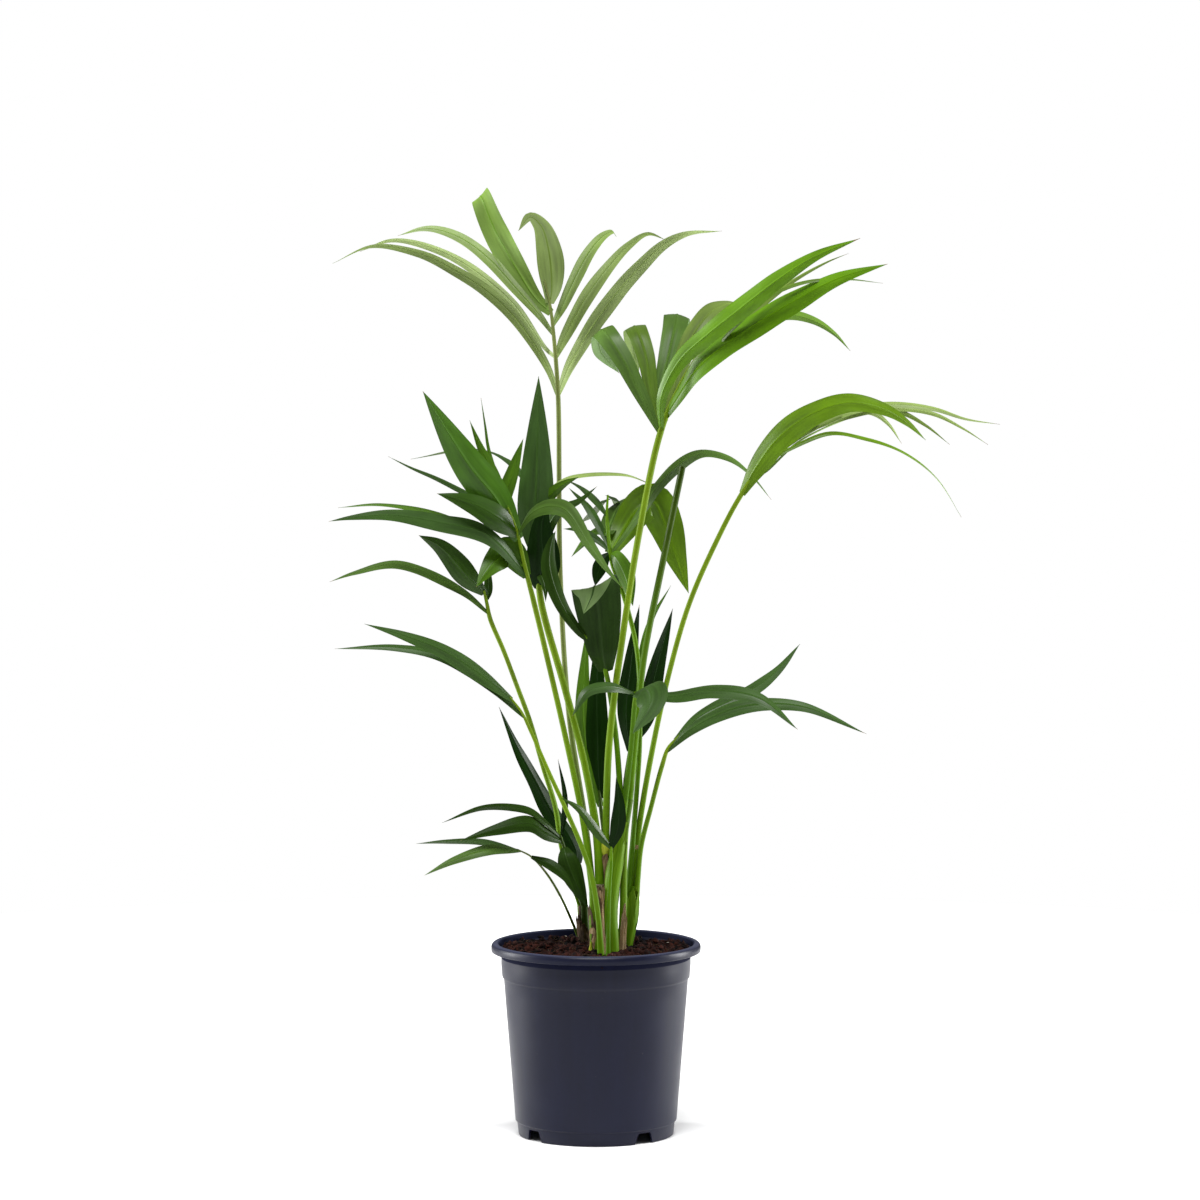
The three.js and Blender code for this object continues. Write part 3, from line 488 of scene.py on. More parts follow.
def pot_material(name, gloss, smooth, rough):
    """Moulded polypropylene: dark slate, satin, with faint upright flow lines and dust, and a painted
    highlight that lightens the top edge of the rim, where it catches the light.
    """
    colour = linear("#0f1226")
    n = Nodes(name, smooth, Specular_IOR_Level=gloss)
    flow = n.noise(n.mapped(n.place, (60.0, 60.0, 2.2)), 1.0, 3.0)
    cloud = n.noise(n.place, 9.0, 5.0, 0.6)
    grain = n.noise(n.place, 900.0, 2.0)
    speck = n.noise(n.place, 330.0, 2.0)
    body = n.mix(n.ramp(cloud, 0.35, 0.65), shade(colour, 0.86), shade(colour, 1.16))
    lined = n.mix(n.ramp(flow, 0.45, 0.65, 0.0, 0.5), body, shade(colour, 1.25))
    dusty = n.mix(n.ramp(speck, 0.73, 0.79, 0.0, 0.2), lined, linear("#4d4844"))
    # Painted highlight: the rim's top edge is mixed towards a lighter slate, standing in for the light that
    # it catches from above.
    height = n.part(n.place, "Z")
    lip = n.ramp(height, (POT_HEIGHT - 1.5) * MM, (POT_HEIGHT - 0.1) * MM, 0.0, 0.75)
    rim_top_highlit = n.mix(lip, dusty, linear("#41445a"))
    normal = n.bump(grain, 0.10, 0.0003, n.bump(flow, 0.06, 0.0006))
    return n.finish(rim_top_highlit, normal, n.ramp(cloud, 0.3, 0.7, smooth, rough))


def soil_material(name, dark, light, scale):
    """Peat: matt and crumbly, with mixed brown tones."""
    n = Nodes(name, 0.95, Specular_IOR_Level=0.15)
    clump = n.noise(n.place, scale, 6.0, 0.7)
    fine = n.noise(n.place, scale * 7, 3.0)
    body = n.mix(n.ramp(clump, 0.42, 0.62), dark, light)
    flecked = n.mix(n.ramp(fine, 0.62, 0.75, 0.0, 0.5), body, shade(light, 1.6))
    normal = n.bump(fine, 0.8, 0.001, n.bump(clump, 1.0, 0.003))
    return n.finish(flecked, normal)


# Tones whose upper faces hardly gloss
DARK_TONES = "dkl"
UPPER = {
    key: leaf_material("leaf_upper_" + key, linear(up), rough, gloss=0.06 if key in DARK_TONES else 0.24)
    for key, (up, _, rough) in LEAF_TONES.items()
}
UNDER = {
    key: leaf_material("leaf_under_" + key, linear(under), rough + 0.14, 0.14)
    for key, (_, under, rough) in LEAF_TONES.items()
}
MIDRIB = {
    key: stalk_material("midrib_" + key, shade(linear(up), 1.22))
    for key, (up, _, _) in LEAF_TONES.items()
}
STALK = {
    key: stalk_material(key + "_skin", linear(code), linear(foot))
    for key, (code, foot) in STALK_TONES.items()
}
RAW_EDGE = dry_material("raw_edge", linear("#9c8e6c"), linear("#e2dac2"))
BULB = stalk_material("bulb_skin", linear("#a4ad34"), linear("#98a02e"))
DRY_TIP = dry_material("dry_tip", linear("#8f7a4c"), linear("#c9bb8e"))
DRY_SHEATH = dry_material("dry_sheath", linear("#3a2818"), linear("#937a54"))
PALE_SHEATH = dry_material("pale_sheath", linear("#8a6c48"), linear("#dcc89c"))
PLASTIC = pot_material("pot_plastic", 0.2, 0.30, 0.46)
INSIDE = pot_material("pot_plastic_inside", 0.05, 0.7, 0.85)
PEAT = soil_material("peat", linear("#020101"), linear("#30150f"), 90.0)
CRUMB = soil_material("peat_crumb", linear("#040202"), linear("#3e1d15"), 110.0)
PERLITE = soil_material("perlite", linear("#b9b0a2"), linear("#dcd6ca"), 300.0)


class Curve:
    """Centripetal Catmull-Rom curve through points, the same rule as the part's source uses."""

    def __init__(self, points):
        self.points = np.array(points, float)
        self.steps = np.linspace(0, 1, 48 * (len(points) - 1) + 1)
        gaps = np.linalg.norm(np.diff(self.at(self.steps), axis=0), axis=1)
        self.run = np.concatenate([[0], np.cumsum(gaps)])
        self.length = self.run[-1]

    def at(self, t):
        p = self.points
        place = np.clip(np.atleast_1d(np.asarray(t, float)), 0, 1) * (len(p) - 1)
        i = np.minimum(place.astype(int), len(p) - 2)
        w = (place - i)[:, None]
        row = np.vstack([2 * p[0] - p[1], p, 2 * p[-1] - p[-2]])
        a, b, c, d = row[i], row[i + 1], row[i + 2], row[i + 3]
        d0, d1, d2 = (np.sqrt(np.linalg.norm(v - u, axis=1))[:, None] for u, v in ((a, b), (b, c), (c, d)))
        t1 = ((b - a) / d0 - (c - a) / (d0 + d1) + (c - b) / d1) * d1
        t2 = ((c - b) / d1 - (d - b) / (d1 + d2) + (d - c) / d2) * d1
        return b + t1 * w + (-3 * b + 3 * c - 2 * t1 - t2) * w**2 + (2 * b - 2 * c + t1 + t2) * w**3

    def tangent(self, t):
        t = np.atleast_1d(np.asarray(t, float))
        move = self.at(np.minimum(t + 1e-3, 1)) - self.at(np.maximum(t - 1e-3, 0))
        return move / np.linalg.norm(move, axis=1)[:, None]

    def place(self, share):
        """The curve's parameter at a share of its length."""
        return np.interp(np.asarray(share) * self.length, self.run, self.steps)


def unit(v):
    return v / np.linalg.norm(v)


def polar(distance, angle):
    return distance * math.cos(angle), distance * math.sin(angle)


def stand(name, data):
    """A new object of the scene that shows this mesh, light or camera."""
    piece = bpy.data.objects.new(name, data)
    bpy.context.scene.collection.objects.link(piece)
    return piece


def mesh_from(bm, name):
    mesh = bpy.data.meshes.new(name)
    bm.to_mesh(mesh)
    bm.free()
    return mesh


def smooth(mesh, sharp):
    """Smooth shading, but for edges that turn by more than the given degrees."""
    mesh.polygons.foreach_set("use_smooth", [True] * len(mesh.polygons))
    mesh.set_sharp_from_angle(angle=math.radians(sharp))


# The largest turn between two faces that is still shaded smooth, in degrees
CREASE_ANGLE = 48


class Build:
    """Collects corners, faces, materials and surface coordinates of one piece, in millimetres."""

    def __init__(self):
        self.corners = []
        self.faces = []
        self.uvs = []
        self.kinds = []
        self.materials = []

    def kind(self, material):
        if material not in self.materials:
            self.materials.append(material)
        return self.materials.index(material)

    def grid(self, rings, uv, kinds, caps):
        """Joins rings of equal count. uv and kinds have a row per ring, with each column's place and kind."""
        base = sum(len(c) for c in self.corners)
        rows, sides = len(rings), len(rings[0])
        self.corners.append(np.concatenate(rings))
        for r in range(rows - 1):
            for s in range(sides):
                e = (s + 1) % sides
                a, b = base + r * sides + s, base + r * sides + e
                self.faces.append((a, b, b + sides, a + sides))
                self.uvs.append((uv[r][s], uv[r][s + 1], uv[r + 1][s + 1], uv[r + 1][s]))
                self.kinds.append(kinds[r][s])
        for cap, row in zip(caps, (0, rows - 1)):
            order = range(sides)[::-1] if row == 0 else range(sides)
            self.faces.append(tuple(base + row * sides + s for s in order))
            self.uvs.append(tuple(uv[row][s] for s in order))
            self.kinds.append(cap)

    def make(self, name):
        mesh = bpy.data.meshes.new(name)
        corners = np.concatenate(self.corners) * MM
        mesh.from_pydata(corners.tolist(), [], self.faces)
        for material in self.materials:
            mesh.materials.append(material)
        layer = mesh.uv_layers.new(name="UVMap")
        flat = np.array([c for face in self.uvs for c in face], np.float32)
        layer.data.foreach_set("uv", flat.ravel())
        mesh.polygons.foreach_set("material_index", self.kinds)
        smooth(mesh, CREASE_ANGLE)
        mesh.validate()
        return stand(name, mesh)


def hand_in(piece, slot, *nodes):
    """Puts a piece in the part's one body, over the nodes that it replaces."""
    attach(piece, "root")
    if nodes:
        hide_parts(*nodes)


def outline(part, widest):
    """Half the width of a blade, as a share of its widest, from root to tip."""
    rise = min(1, part / widest)
    body = LEAF_ROOT_WIDTH + (1 - LEAF_ROOT_WIDTH) * math.sin(rise * math.pi / 2)
    fall = max(0, (part - widest) / (1 - widest))
    return body * (1 - fall**LEAF_TAPER)


def face_direction(tangent, turn):
    """The upper face's direction at a blade's root: facing the front, tipped up by the turn."""
    facing = unit(FRONT - tangent * FRONT.dot(tangent))
    upward = np.cross(tangent, facing)
    if upward[2] < 0:
        upward = -upward
    angle = math.radians(turn)
    return facing * math.cos(angle) + upward * math.sin(angle)


# Places across a blade, as shares of half its width, close together at the midrib
ASIDE = [0.06, 0.18, 0.3, 0.42, 0.54, 0.66, 0.78, 0.9, 1]
ACROSS = [-s for s in ASIDE[::-1]] + [0] + ASIDE
# Places round a blade's section: over the upper face and back under it
ROUND = ACROSS[::-1] + ACROSS[1:-1]
MIDRIB_REACH = 0.07
FOLD_STRAIGHT = 0.35
FOLD_CURVED = 0.65
FOLD_SCALE = 0.86
PLEATS = 3
PLEAT_DEPTH = 0.006
ROOT_THICKNESS = 0.55
TIP_THINNING = 0.25
EDGE_THINNING = 0.8
WAVE_LENGTHS = (48, 75)
WAVE_DEPTHS = (0.03, 0.07)
RING_CROWDING = 1.15
DRY_TIP_SHARES = [0, 0.012, 0.02, 0.035]
# The length and width of blade or stalk that one unit of its surface coordinates covers
SKIN_LENGTH = 100
SKIN_WIDTH = 30
# Where a blade's face tells which way it looks, and how soon it is turned to the front
LOOKED_AT = 0.7
TURNING_SPEED = 1.8


def faces(tangents, turn, facing):
    """The upper face's direction all along a blade, turned towards the front by the given share."""
    face = face_direction(tangents[0], turn)
    carried = []
    for tangent in tangents:
        face = unit(face - tangent * face.dot(tangent))
        carried.append(face)
    sign = 1 if carried[int(LOOKED_AT * len(tangents))].dot(FRONT) > 0 else -1
    shown = []
    for k, (tangent, face) in enumerate(zip(tangents, carried)):
        along = min(1.0, TURNING_SPEED * k / (len(tangents) - 1))
        share = facing * along * along * (3 - 2 * along)
        front = sign * FRONT
        face = face * (1 - share) + unit(front - tangent * front.dot(tangent)) * share
        shown.append(unit(face - tangent * face.dot(tangent)))
    return shown


def blade(build, root, widest, row, tone, rng, facing):
    """One leaflet: a thin folded blade with a midrib, side ribs and a slightly wavy edge, out to a point."""
    width, turn, *points = row
    curve = Curve([root, *points])
    shares = 1 - (1 - np.linspace(0, 1, LEAF_RINGS + 1)) ** RING_CROWDING
    t = curve.place(shares)
    centres, tangents = curve.at(t), curve.tangent(t)
    phase = [rng.uniform(0, 2 * math.pi) for _ in range(3)]
    waves = curve.length / rng.uniform(*WAVE_LENGTHS)
    wave = rng.uniform(*WAVE_DEPTHS)
    upper, under = build.kind(UPPER[tone]), build.kind(UNDER[tone])
    rib, tip = build.kind(MIDRIB[tone]), build.kind(DRY_TIP)
    dry_from = 1 - rng.choice(DRY_TIP_SHARES)
    columns = range(len(ACROSS) - 1)
    at_midrib = (len(ASIDE) - 1, len(ASIDE))
    living = [rib if i in at_midrib else side for side in (upper, under) for i in columns]
    rings, uv, kinds = [], [], []
    for share, centre, tangent, face in zip(shares, centres, tangents, faces(tangents, turn, facing)):
        across = np.cross(face, tangent)
        half = max(LEAF_LEAST_HALF_WIDTH, width / 2 * outline(share, widest))
        thick = (ROOT_THICKNESS - TIP_THINNING * share) * min(1, half / 2)
        top, low = [], []
        for s in ACROSS:
            side = phase[0] if s < 0 else phase[1]
            ripple = wave * half * s * s * math.sin(2 * math.pi * waves * share + side)
            pleat = PLEAT_DEPTH * half * math.cos(abs(s) * 2 * math.pi * PLEATS)
            fold = FOLD_STRAIGHT * abs(s) + FOLD_CURVED * s * s
            drop = -LEAF_FOLD * half * fold / FOLD_SCALE + ripple
            ridge = (0.03 * half + 0.12) * max(0, 1 - (abs(s) / MIDRIB_REACH) ** 2)
            skin = thick / 2 * (1 - EDGE_THINNING * abs(s))
            across_at = centre + across * (half * s)
            top.append(across_at + face * (drop + pleat + ridge + skin))
            low.append(across_at + face * (drop + pleat - 1.6 * ridge - skin))
        rings.append(np.array(top[::-1] + low[1:-1]))
        line = [(0.5 + 0.5 * s * width / SKIN_WIDTH, share * curve.length / SKIN_LENGTH) for s in ROUND]
        uv.append(line + [line[0]])
        kinds.append([tip] * len(ROUND) if share >= dry_from else living)
    build.grid(rings, uv, kinds, caps=(under, tip))


# Half the angle of a stalk's channel, how far up a point its channel looks, and its swellings' length
CHANNEL_ANGLE = 0.5
CHANNEL_LIFT = 25.0
SWELLING_LENGTH = 26


def tube(build, curve, span, radii, kind, rng, sides=20, step=4.0, groove=0.16, flare=(0.0, 1.0),
         rough=0.03, run_from=0.0):
    """A tapering stalk along part of a curve, with a shallow channel on its inner side.

    step is the length between rings, groove the channel's depth as a share of the radius, flare how much
    the foot is widened and over what length, rough the depth of its swellings, and run_from the length
    of stalk that its surface coordinates leave out before it.
    """
    start, end = span
    length = curve.length * (end - start)
    count = max(6, int(length / step))
    shares = np.linspace(0, 1, count + 1)
    t = start + (end - start) * shares
    centres, tangents = curve.at(t), curve.tangent(t)
    runs = np.concatenate([[0], np.cumsum(np.linalg.norm(np.diff(centres, axis=0), axis=1))])
    seed = rng.uniform(0, 100)
    rings, uv, kinds = [], [], []
    for share, run, centre, tangent in zip(shares, runs, centres, tangents):
        across = unit(np.cross(tangent, FRONT))
        over = unit(np.cross(tangent, across))
        radius = radii[0] + (radii[1] - radii[0]) * share
        radius *= 1 + flare[0] * math.exp(-run / flare[1])
        inward = np.array([-centre[0], -centre[1], CHANNEL_LIFT])
        inward = unit(inward - tangent * inward.dot(tangent))
        facing = math.atan2(inward.dot(over), inward.dot(across))
        ring, line = [], []
        for s in range(sides):
            angle = 2 * math.pi * s / sides
            away = (angle - facing + math.pi) % (2 * math.pi) - math.pi
            r = radius * (1 - groove * math.exp(-((away / CHANNEL_ANGLE) ** 2)))
            bumps = noise.noise((math.cos(angle) * 2.2, math.sin(angle) * 2.2 + seed, run / SWELLING_LENGTH))
            r *= 1 + rough * bumps
            x, y = polar(r, angle)
            ring.append(centre + across * x + over * y)
            line.append((s / sides, (run_from + run) / SKIN_LENGTH))
        rings.append(np.array(ring))
        uv.append(line + [(1.0, (run_from + run) / SKIN_LENGTH)])
        kinds.append([kind] * sides)
    build.grid(rings, uv, kinds, caps=(kind, kind))


def foot_of(limb):
    """Where a petiole starts, just over the soil or over its culm's top."""
    if limb["on"] == "soil":
        return [*limb["foot"], SOIL_LEVEL + GAP]
    x, y, z = CULMS[limb["on"]]["path"][-1]
    return [x + limb["foot"][0], y + limb["foot"][1], z + GAP]


def limb_curve(limb):
    return Curve([foot_of(limb), *limb["stalk"], *limb.get("rachis", [])])


def junction(limb):
    """The place on the limb's curve where the petiole ends and the frond's rachis starts."""
    if "rachis" not in limb:
        return 1.0
    return len(limb["stalk"]) / (len(limb["stalk"]) + len(limb["rachis"]))


def stalk_skin(limb):
    return STALK[limb.get("skin", limb["stem"])]


# How much a petiole's foot is widened, and over what length
FLARE_AT_SOIL = (0.25, 10.0)
FLARE_ON_CULM = (0.24, 45.0)
FROND_SKIN_START = 260.0
LAST_ROOT = 0.98


def make_limb(name, limb, rng):
    """A petiole and the frond that it carries."""
    curve, join = limb_curve(limb), junction(limb)
    radii = [r * limb.get("gauge", 1.0) for r in limb["radii"]]
    build = Build()
    skin = build.kind(stalk_skin(limb))
    flare = FLARE_AT_SOIL if limb["on"] == "soil" else FLARE_ON_CULM
    tube(build, curve, (0, join), radii, skin, rng, flare=flare)
    hand_in(build.make("stalk_" + name), limb["stem"], "petiole_" + name)
    if join == 1.0:
        return
    build = Build()
    skin = build.kind(stalk_skin(limb))
    tube(build, curve, (join, 1), radii[1:], skin, rng, sides=16, step=2.5, groove=0.1,
         run_from=FROND_SKIN_START)
    facing = limb.get("facing", {})
    for i, ((along, *row), tone) in enumerate(zip(limb["leaflets"], limb["tones"])):
        root = curve.at(join + (1 - join) * min(LAST_ROOT, along))[0]
        blade(build, root, limb.get("widest", LEAF_WIDEST), row, tone, rng, facing.get(i, 0.0))
    hand_in(build.make("leaves_" + name), limb["leaf"], "frond_" + name)


for order, (limb_name, limb_row) in enumerate(LIMBS.items()):
    make_limb(limb_name, limb_row, random.Random(100 + order))


# Sheaths round the two green culms: start and end as shares of the height, the middle's direction and
# half the angle in radians, skin
GREEN_SHEATHS = {
    "culm_front": [(0.0, 0.86, -1.3, 2.6, "bright_stalk"), (0.0, 0.5, 1.6, 2.0, "shaded_deep_green_stalk")],
    "culm_right": [(0.0, 0.9, -1.8, 2.6, "bright_stalk"), (0.0, 0.6, 0.9, 1.8, "shaded_deep_green_stalk")],
}
# Torn dry slivers on both of them, by the same measures
SLIVERS = [(0.0, 0.42, -2.6, 0.34), (0.05, 0.7, 0.5, 0.16), (0.0, 0.3, 2.2, 0.9)]
# Radii at foot and top as shares of the culm's, or of the petiole's at its sheathed base
CORE_SHARES = (0.7, 0.72)
HUSK_SHARES = (0.82, 0.95)
GREEN_SHARES = (1, 0.82)
BASE_SHARES = (1.6, 1.3)
# How near the culm's axis a sheathed base starts, as a share of its distance at the top
BASE_START = 0.42
BASE_RISE = 0.58
DRY_HUSKS = 4
SHEATH_THICKNESS = 0.35
SHEATH_SIDES = 26
SHEATH_ROWS = 26


def scaled(radii, shares):
    return [radius * share for radius, share in zip(radii, shares)]


def make_culm(name, row, rng):
    """A culm: a core, the sheathed bases of its petioles round it, and its sheaths and husks."""
    x, y = row["path"][0]
    line = Curve([[x, y, SOIL_LEVEL - 4], *row["path"][1:]])
    build = Build()
    dry = row["finish"] == "dry_culm"
    core = build.kind(DRY_SHEATH if dry else STALK["shaded_deep_green_stalk"])
    radii = scaled(row["radii"], CORE_SHARES)
    tube(build, line, (0, 0.985), radii, core, rng, sides=28, step=2.5, groove=0.0, rough=0.10)
    for limb in LIMBS.values():
        if limb["on"] != name:
            continue
        top = np.array(foot_of(limb))
        middle = np.array([*row["path"][-1][:2], top[2]])
        away = top - middle
        points = []
        for share in (0, 0.35, 0.7, 1):
            centre = line.at(share)[0]
            points.append(centre + away * (BASE_START + BASE_RISE * share))
        points[-1] = top + (0, 0, 0.4)
        skin = build.kind(stalk_skin(limb))
        radii = scaled([limb["radii"][0]] * 2, BASE_SHARES)
        tube(build, Curve(points), (0, 1), radii, skin, rng, sides=18, step=2.5)
    if dry:
        for _ in range(DRY_HUSKS):
            wrap(build, line, row, rng)
    else:
        radii = scaled(row["radii"], GREEN_SHARES)
        for start, end, turn, reach, key in GREEN_SHEATHS[name]:
            sheath(build, line, radii, (start, end), turn, reach, build.kind(STALK[key]), rng)
        kind = build.kind(PALE_SHEATH)
        for start, end, turn, reach in SLIVERS:
            sheath(build, line, [r + 0.8 for r in radii], (start, end), turn, reach, kind, rng)
    make_scars(name, build, rng)
    hand_in(build.make("sheathed_" + name), row["finish"], name)


def wrap(build, line, row, rng):
    """A torn dry sheath that clasps part of the way round a culm."""
    span = (rng.uniform(0.0, 0.12), rng.uniform(0.4, 0.75))
    kind = build.kind(rng.choice([DRY_SHEATH, DRY_SHEATH, PALE_SHEATH]))
    radii = scaled(row["radii"], HUSK_SHARES)
    sheath(build, line, radii, span, rng.uniform(0, 2 * math.pi), rng.uniform(1.2, 2.2), kind, rng)


def sheath(build, stem, radii, span, turn, reach, kind, rng):
    """A thin sheath round part of a stem, with a ragged upper edge. reach is half its angle."""
    count = 2 * (SHEATH_SIDES + 1)
    start, end = span
    shift = rng.uniform(0, 50)
    rings, uv, kinds = [], [], []
    for r in range(SHEATH_ROWS + 1):
        part = r / SHEATH_ROWS
        outer, inner = [], []
        for s in range(SHEATH_SIDES + 1):
            u = 2 * s / SHEATH_SIDES - 1
            tear = 0.22 * noise.noise((u * 5.0, shift, 0.5)) + 0.10 * noise.noise((u * 17.0, shift, 3.5))
            place = start + (end - start) * part * (1 + tear - 0.25 * u * u)
            place = min(0.97, max(0.0, place))
            centre = stem.at(place)[0]
            radius = radii[0] + (radii[1] - radii[0]) * place
            lift = 0.5 + 0.9 * part**3 + 0.5 * noise.noise((u * 3, part * 4, shift))
            angle = turn + u * reach * (1 - 0.3 * part)
            direction = np.array([math.cos(angle), math.sin(angle), 0.0])
            outer.append(centre + direction * (radius + lift + SHEATH_THICKNESS))
            inner.append(centre + direction * (radius + lift))
        rings.append(np.array(outer + inner[::-1]))
        line = [(min(s, count - 1 - s) / SHEATH_SIDES * 1.2, part * 0.6) for s in range(count)]
        uv.append(line + [line[0]])
        kinds.append([kind] * count)
    build.grid(rings, uv, kinds, caps=(kind, kind))


def swelling(build, stem, span, radius, swell, kind):
    """A collar or bulb round a stem: its radius swells and falls back along the span."""
    sides, rows = 24, 14
    rings, uv, kinds = [], [], []
    for part in np.linspace(0, 1, rows + 1):
        place = span[0] + (span[1] - span[0]) * part
        centre, tangent = stem.at(place)[0], stem.tangent([place])[0]
        across = unit(np.cross(tangent, FRONT))
        over = unit(np.cross(tangent, across))
        r = radius + swell * math.sin(math.pi * part) ** 0.7
        spokes = [polar(r, 2 * math.pi * s / sides) for s in range(sides)]
        rings.append(np.array([centre + across * x + over * y for x, y in spokes]))
        uv.append([(s / sides, part * 0.3) for s in range(sides + 1)])
        kinds.append([kind] * sides)
    build.grid(rings, uv, kinds, caps=(kind, kind))


def make_scars(name, build, rng):
    """Husks, a bulb, a scar, a bud and a shoot that the photograph shows on or by this culm."""
    if name == "culm_middle":
        stub = Curve([[6, -20, 212], [5.5, -20, 235], [4, -18, 256]])
        sheath(build, stub, [4.4, 5.2], (0.0, 0.9), -1.6, 3.0, build.kind(PALE_SHEATH), rng)
        sheath(build, stub, [4.8, 5.4], (0.3, 0.96), -1.2, 1.5, build.kind(DRY_SHEATH), rng)
        sheath(build, stub, [5.2, 5.5], (0.86, 0.97), -1.5, 2.2, build.kind(RAW_EDGE), rng)
        right = limb_curve(LIMBS["top_right"])
        sheath(build, right, [3.9, 4.6], (0.012, 0.072), -1.7, 1.5, build.kind(PALE_SHEATH), rng)
        swelling(build, right, (0.072, 0.100), 3.4, 1.6, build.kind(BULB))
        bud = Curve([[-5, -14, SOIL_LEVEL - 2], [-5.5, -14, 189], [-5, -15, 195]])
        tube(build, bud, (0, 1), [2.6, 0.5], build.kind(BULB), rng, sides=14, step=1.0, groove=0.0)
    if name == "culm_right":
        high = limb_curve(LIMBS["right_high"])
        swelling(build, high, (0.096, 0.108), 3.1, 0.5, build.kind(PALE_SHEATH))
    if name == "culm_front":
        shoot = Curve([[25, -8, SOIL_LEVEL - 3], [27, -8, 230], [28, -9, 285], [31, -10, 332]])
        tube(build, shoot, (0, 1), [4.2, 3.2], build.kind(STALK["bright_stalk"]), rng, sides=18, step=2.5)
        sheath(build, shoot, [4.6, 4.0], (0.0, 0.34), -1.3, 0.8, build.kind(PALE_SHEATH), rng)


for order, (culm_name, culm_row) in enumerate(CULMS.items()):
    make_culm(culm_name, culm_row, random.Random(300 + order))


def pot_profile():
    """One side of the pot's section, from the middle of the underside out and up, over the rim and back."""
    roof = CHANNEL_HEIGHT
    floor = CHANNEL_HEIGHT + CHANNEL_FLOOR
    return [
        (0, 0), (PAD_RADIUS - 0.6, 0), (PAD_RADIUS, 0.5), (PAD_RADIUS + 1.6, roof - 0.8),
        (PAD_RADIUS + 2.4, roof), (FOOT_RADIUS - 2.6, roof), (FOOT_RADIUS - 2, roof - 0.8),
        (FOOT_RADIUS - 1.8, 0.3), (FOOT_RADIUS - 1.5, 0), (FOOT_RADIUS - 0.4, 0), (FOOT_RADIUS, 0.4),
        (79.1, 12.6), (79.4, 13.4), (80.4, 14.0), (80.9, 14.5), (81.1, 15.4), (83.2, 42), (86.0, 77),
        (88.9, 113), (91.2, 142), (92.3, 156.2), (92.6, 157.2), (93.4, 158.2), (93.9, 159.2), (94.2, 161),
        (COLLAR_RADIUS, COLLAR_LEVEL), (95, 182.6), (95.3, 184.4), (96.0, 186.0), (97.2, 186.8),
        (101.6, 187.2), (102.3, 186.9), (102.8, 185.6), (103.4, 184.5), (104.2, 184.3), (104.8, 184.8),
        (105.0, 187), (POT_RIM_RADIUS, 189), (104.6, 190.6), (103.9, 191.8), (102.8, 192.6),
        (101.5, POT_HEIGHT), (100.0, 193.0), (98.8, 192.7), (97.8, 192.0), (97.3, 191), (96.4, 184),
        (COLLAR_RADIUS - POT_WALL, COLLAR_LEVEL), (STEP_RADIUS - POT_WALL, 160.5),
        (WALL_TOP_RADIUS - POT_WALL, 158), (WALL_FOOT_RADIUS - POT_WALL, floor + 2), (78, floor),
        (PAD_RADIUS + 4, floor), (PAD_RADIUS + 1.6, PAD_THICKNESS), (0, PAD_THICKNESS),
    ]


def lathe(name, profile, sides, materials, surface=None):
    """A profile of radius and height turned about the pot's axis, closed on the axis at both ends.

    Where the height is None, the surface gives it at each x and y.
    """
    bm = bmesh.new()
    rings = []
    for i, (radius, height) in enumerate(profile):
        if radius == 0:
            rings.append([bm.verts.new((0, 0, height * MM))] * sides)
            continue
        ring = []
        for s in range(sides):
            angle = 2 * math.pi * s / sides
            z = surface(*polar(radius, angle)) if height is None else height
            ring.append(bm.verts.new((*polar(radius * MM, angle), z * MM)))
        rings.append(ring)
    for low, high in zip(rings, rings[1:]):
        for s in range(sides):
            e = (s + 1) % sides
            corners = [low[s], low[e], high[e], high[s]]
            bm.faces.new(list(dict.fromkeys(corners)))
    bmesh.ops.recalc_face_normals(bm, faces=bm.faces)
    mesh = mesh_from(bm, name)
    for material in materials:
        mesh.materials.append(material)
    return stand(name, mesh)


def cutter(profile, depth, angle, base):
    """A prism with the given outline in X and Z, turned about the pot's axis by an angle."""
    bm = bmesh.new()
    near = [bm.verts.new((x * MM, (base - depth) * MM, z * MM)) for x, z in profile]
    far = [bm.verts.new((x * MM, base * MM, z * MM)) for x, z in profile]
    bm.faces.new(near)
    bm.faces.new(far[::-1])
    for i in range(len(profile)):
        j = (i + 1) % len(profile)
        bm.faces.new([near[j], near[i], far[i], far[j]])
    bmesh.ops.recalc_face_normals(bm, faces=bm.faces)
    tool = stand("cutter", mesh_from(bm, "cutter"))
    tool.rotation_euler = (0, 0, angle)
    return tool


def cut(piece, tools):
    """Subtracts the tools from the piece and removes them."""
    for tool in tools:
        modifier = piece.modifiers.new("cut", "BOOLEAN")
        modifier.operation = "DIFFERENCE"
        modifier.object = tool
        modifier.solver = "EXACT"
    graph = bpy.context.evaluated_depsgraph_get()
    mesh = bpy.data.meshes.new_from_object(piece.evaluated_get(graph))
    piece.modifiers.clear()
    piece.data = mesh
    for tool in tools:
        bpy.data.objects.remove(tool, do_unlink=True)


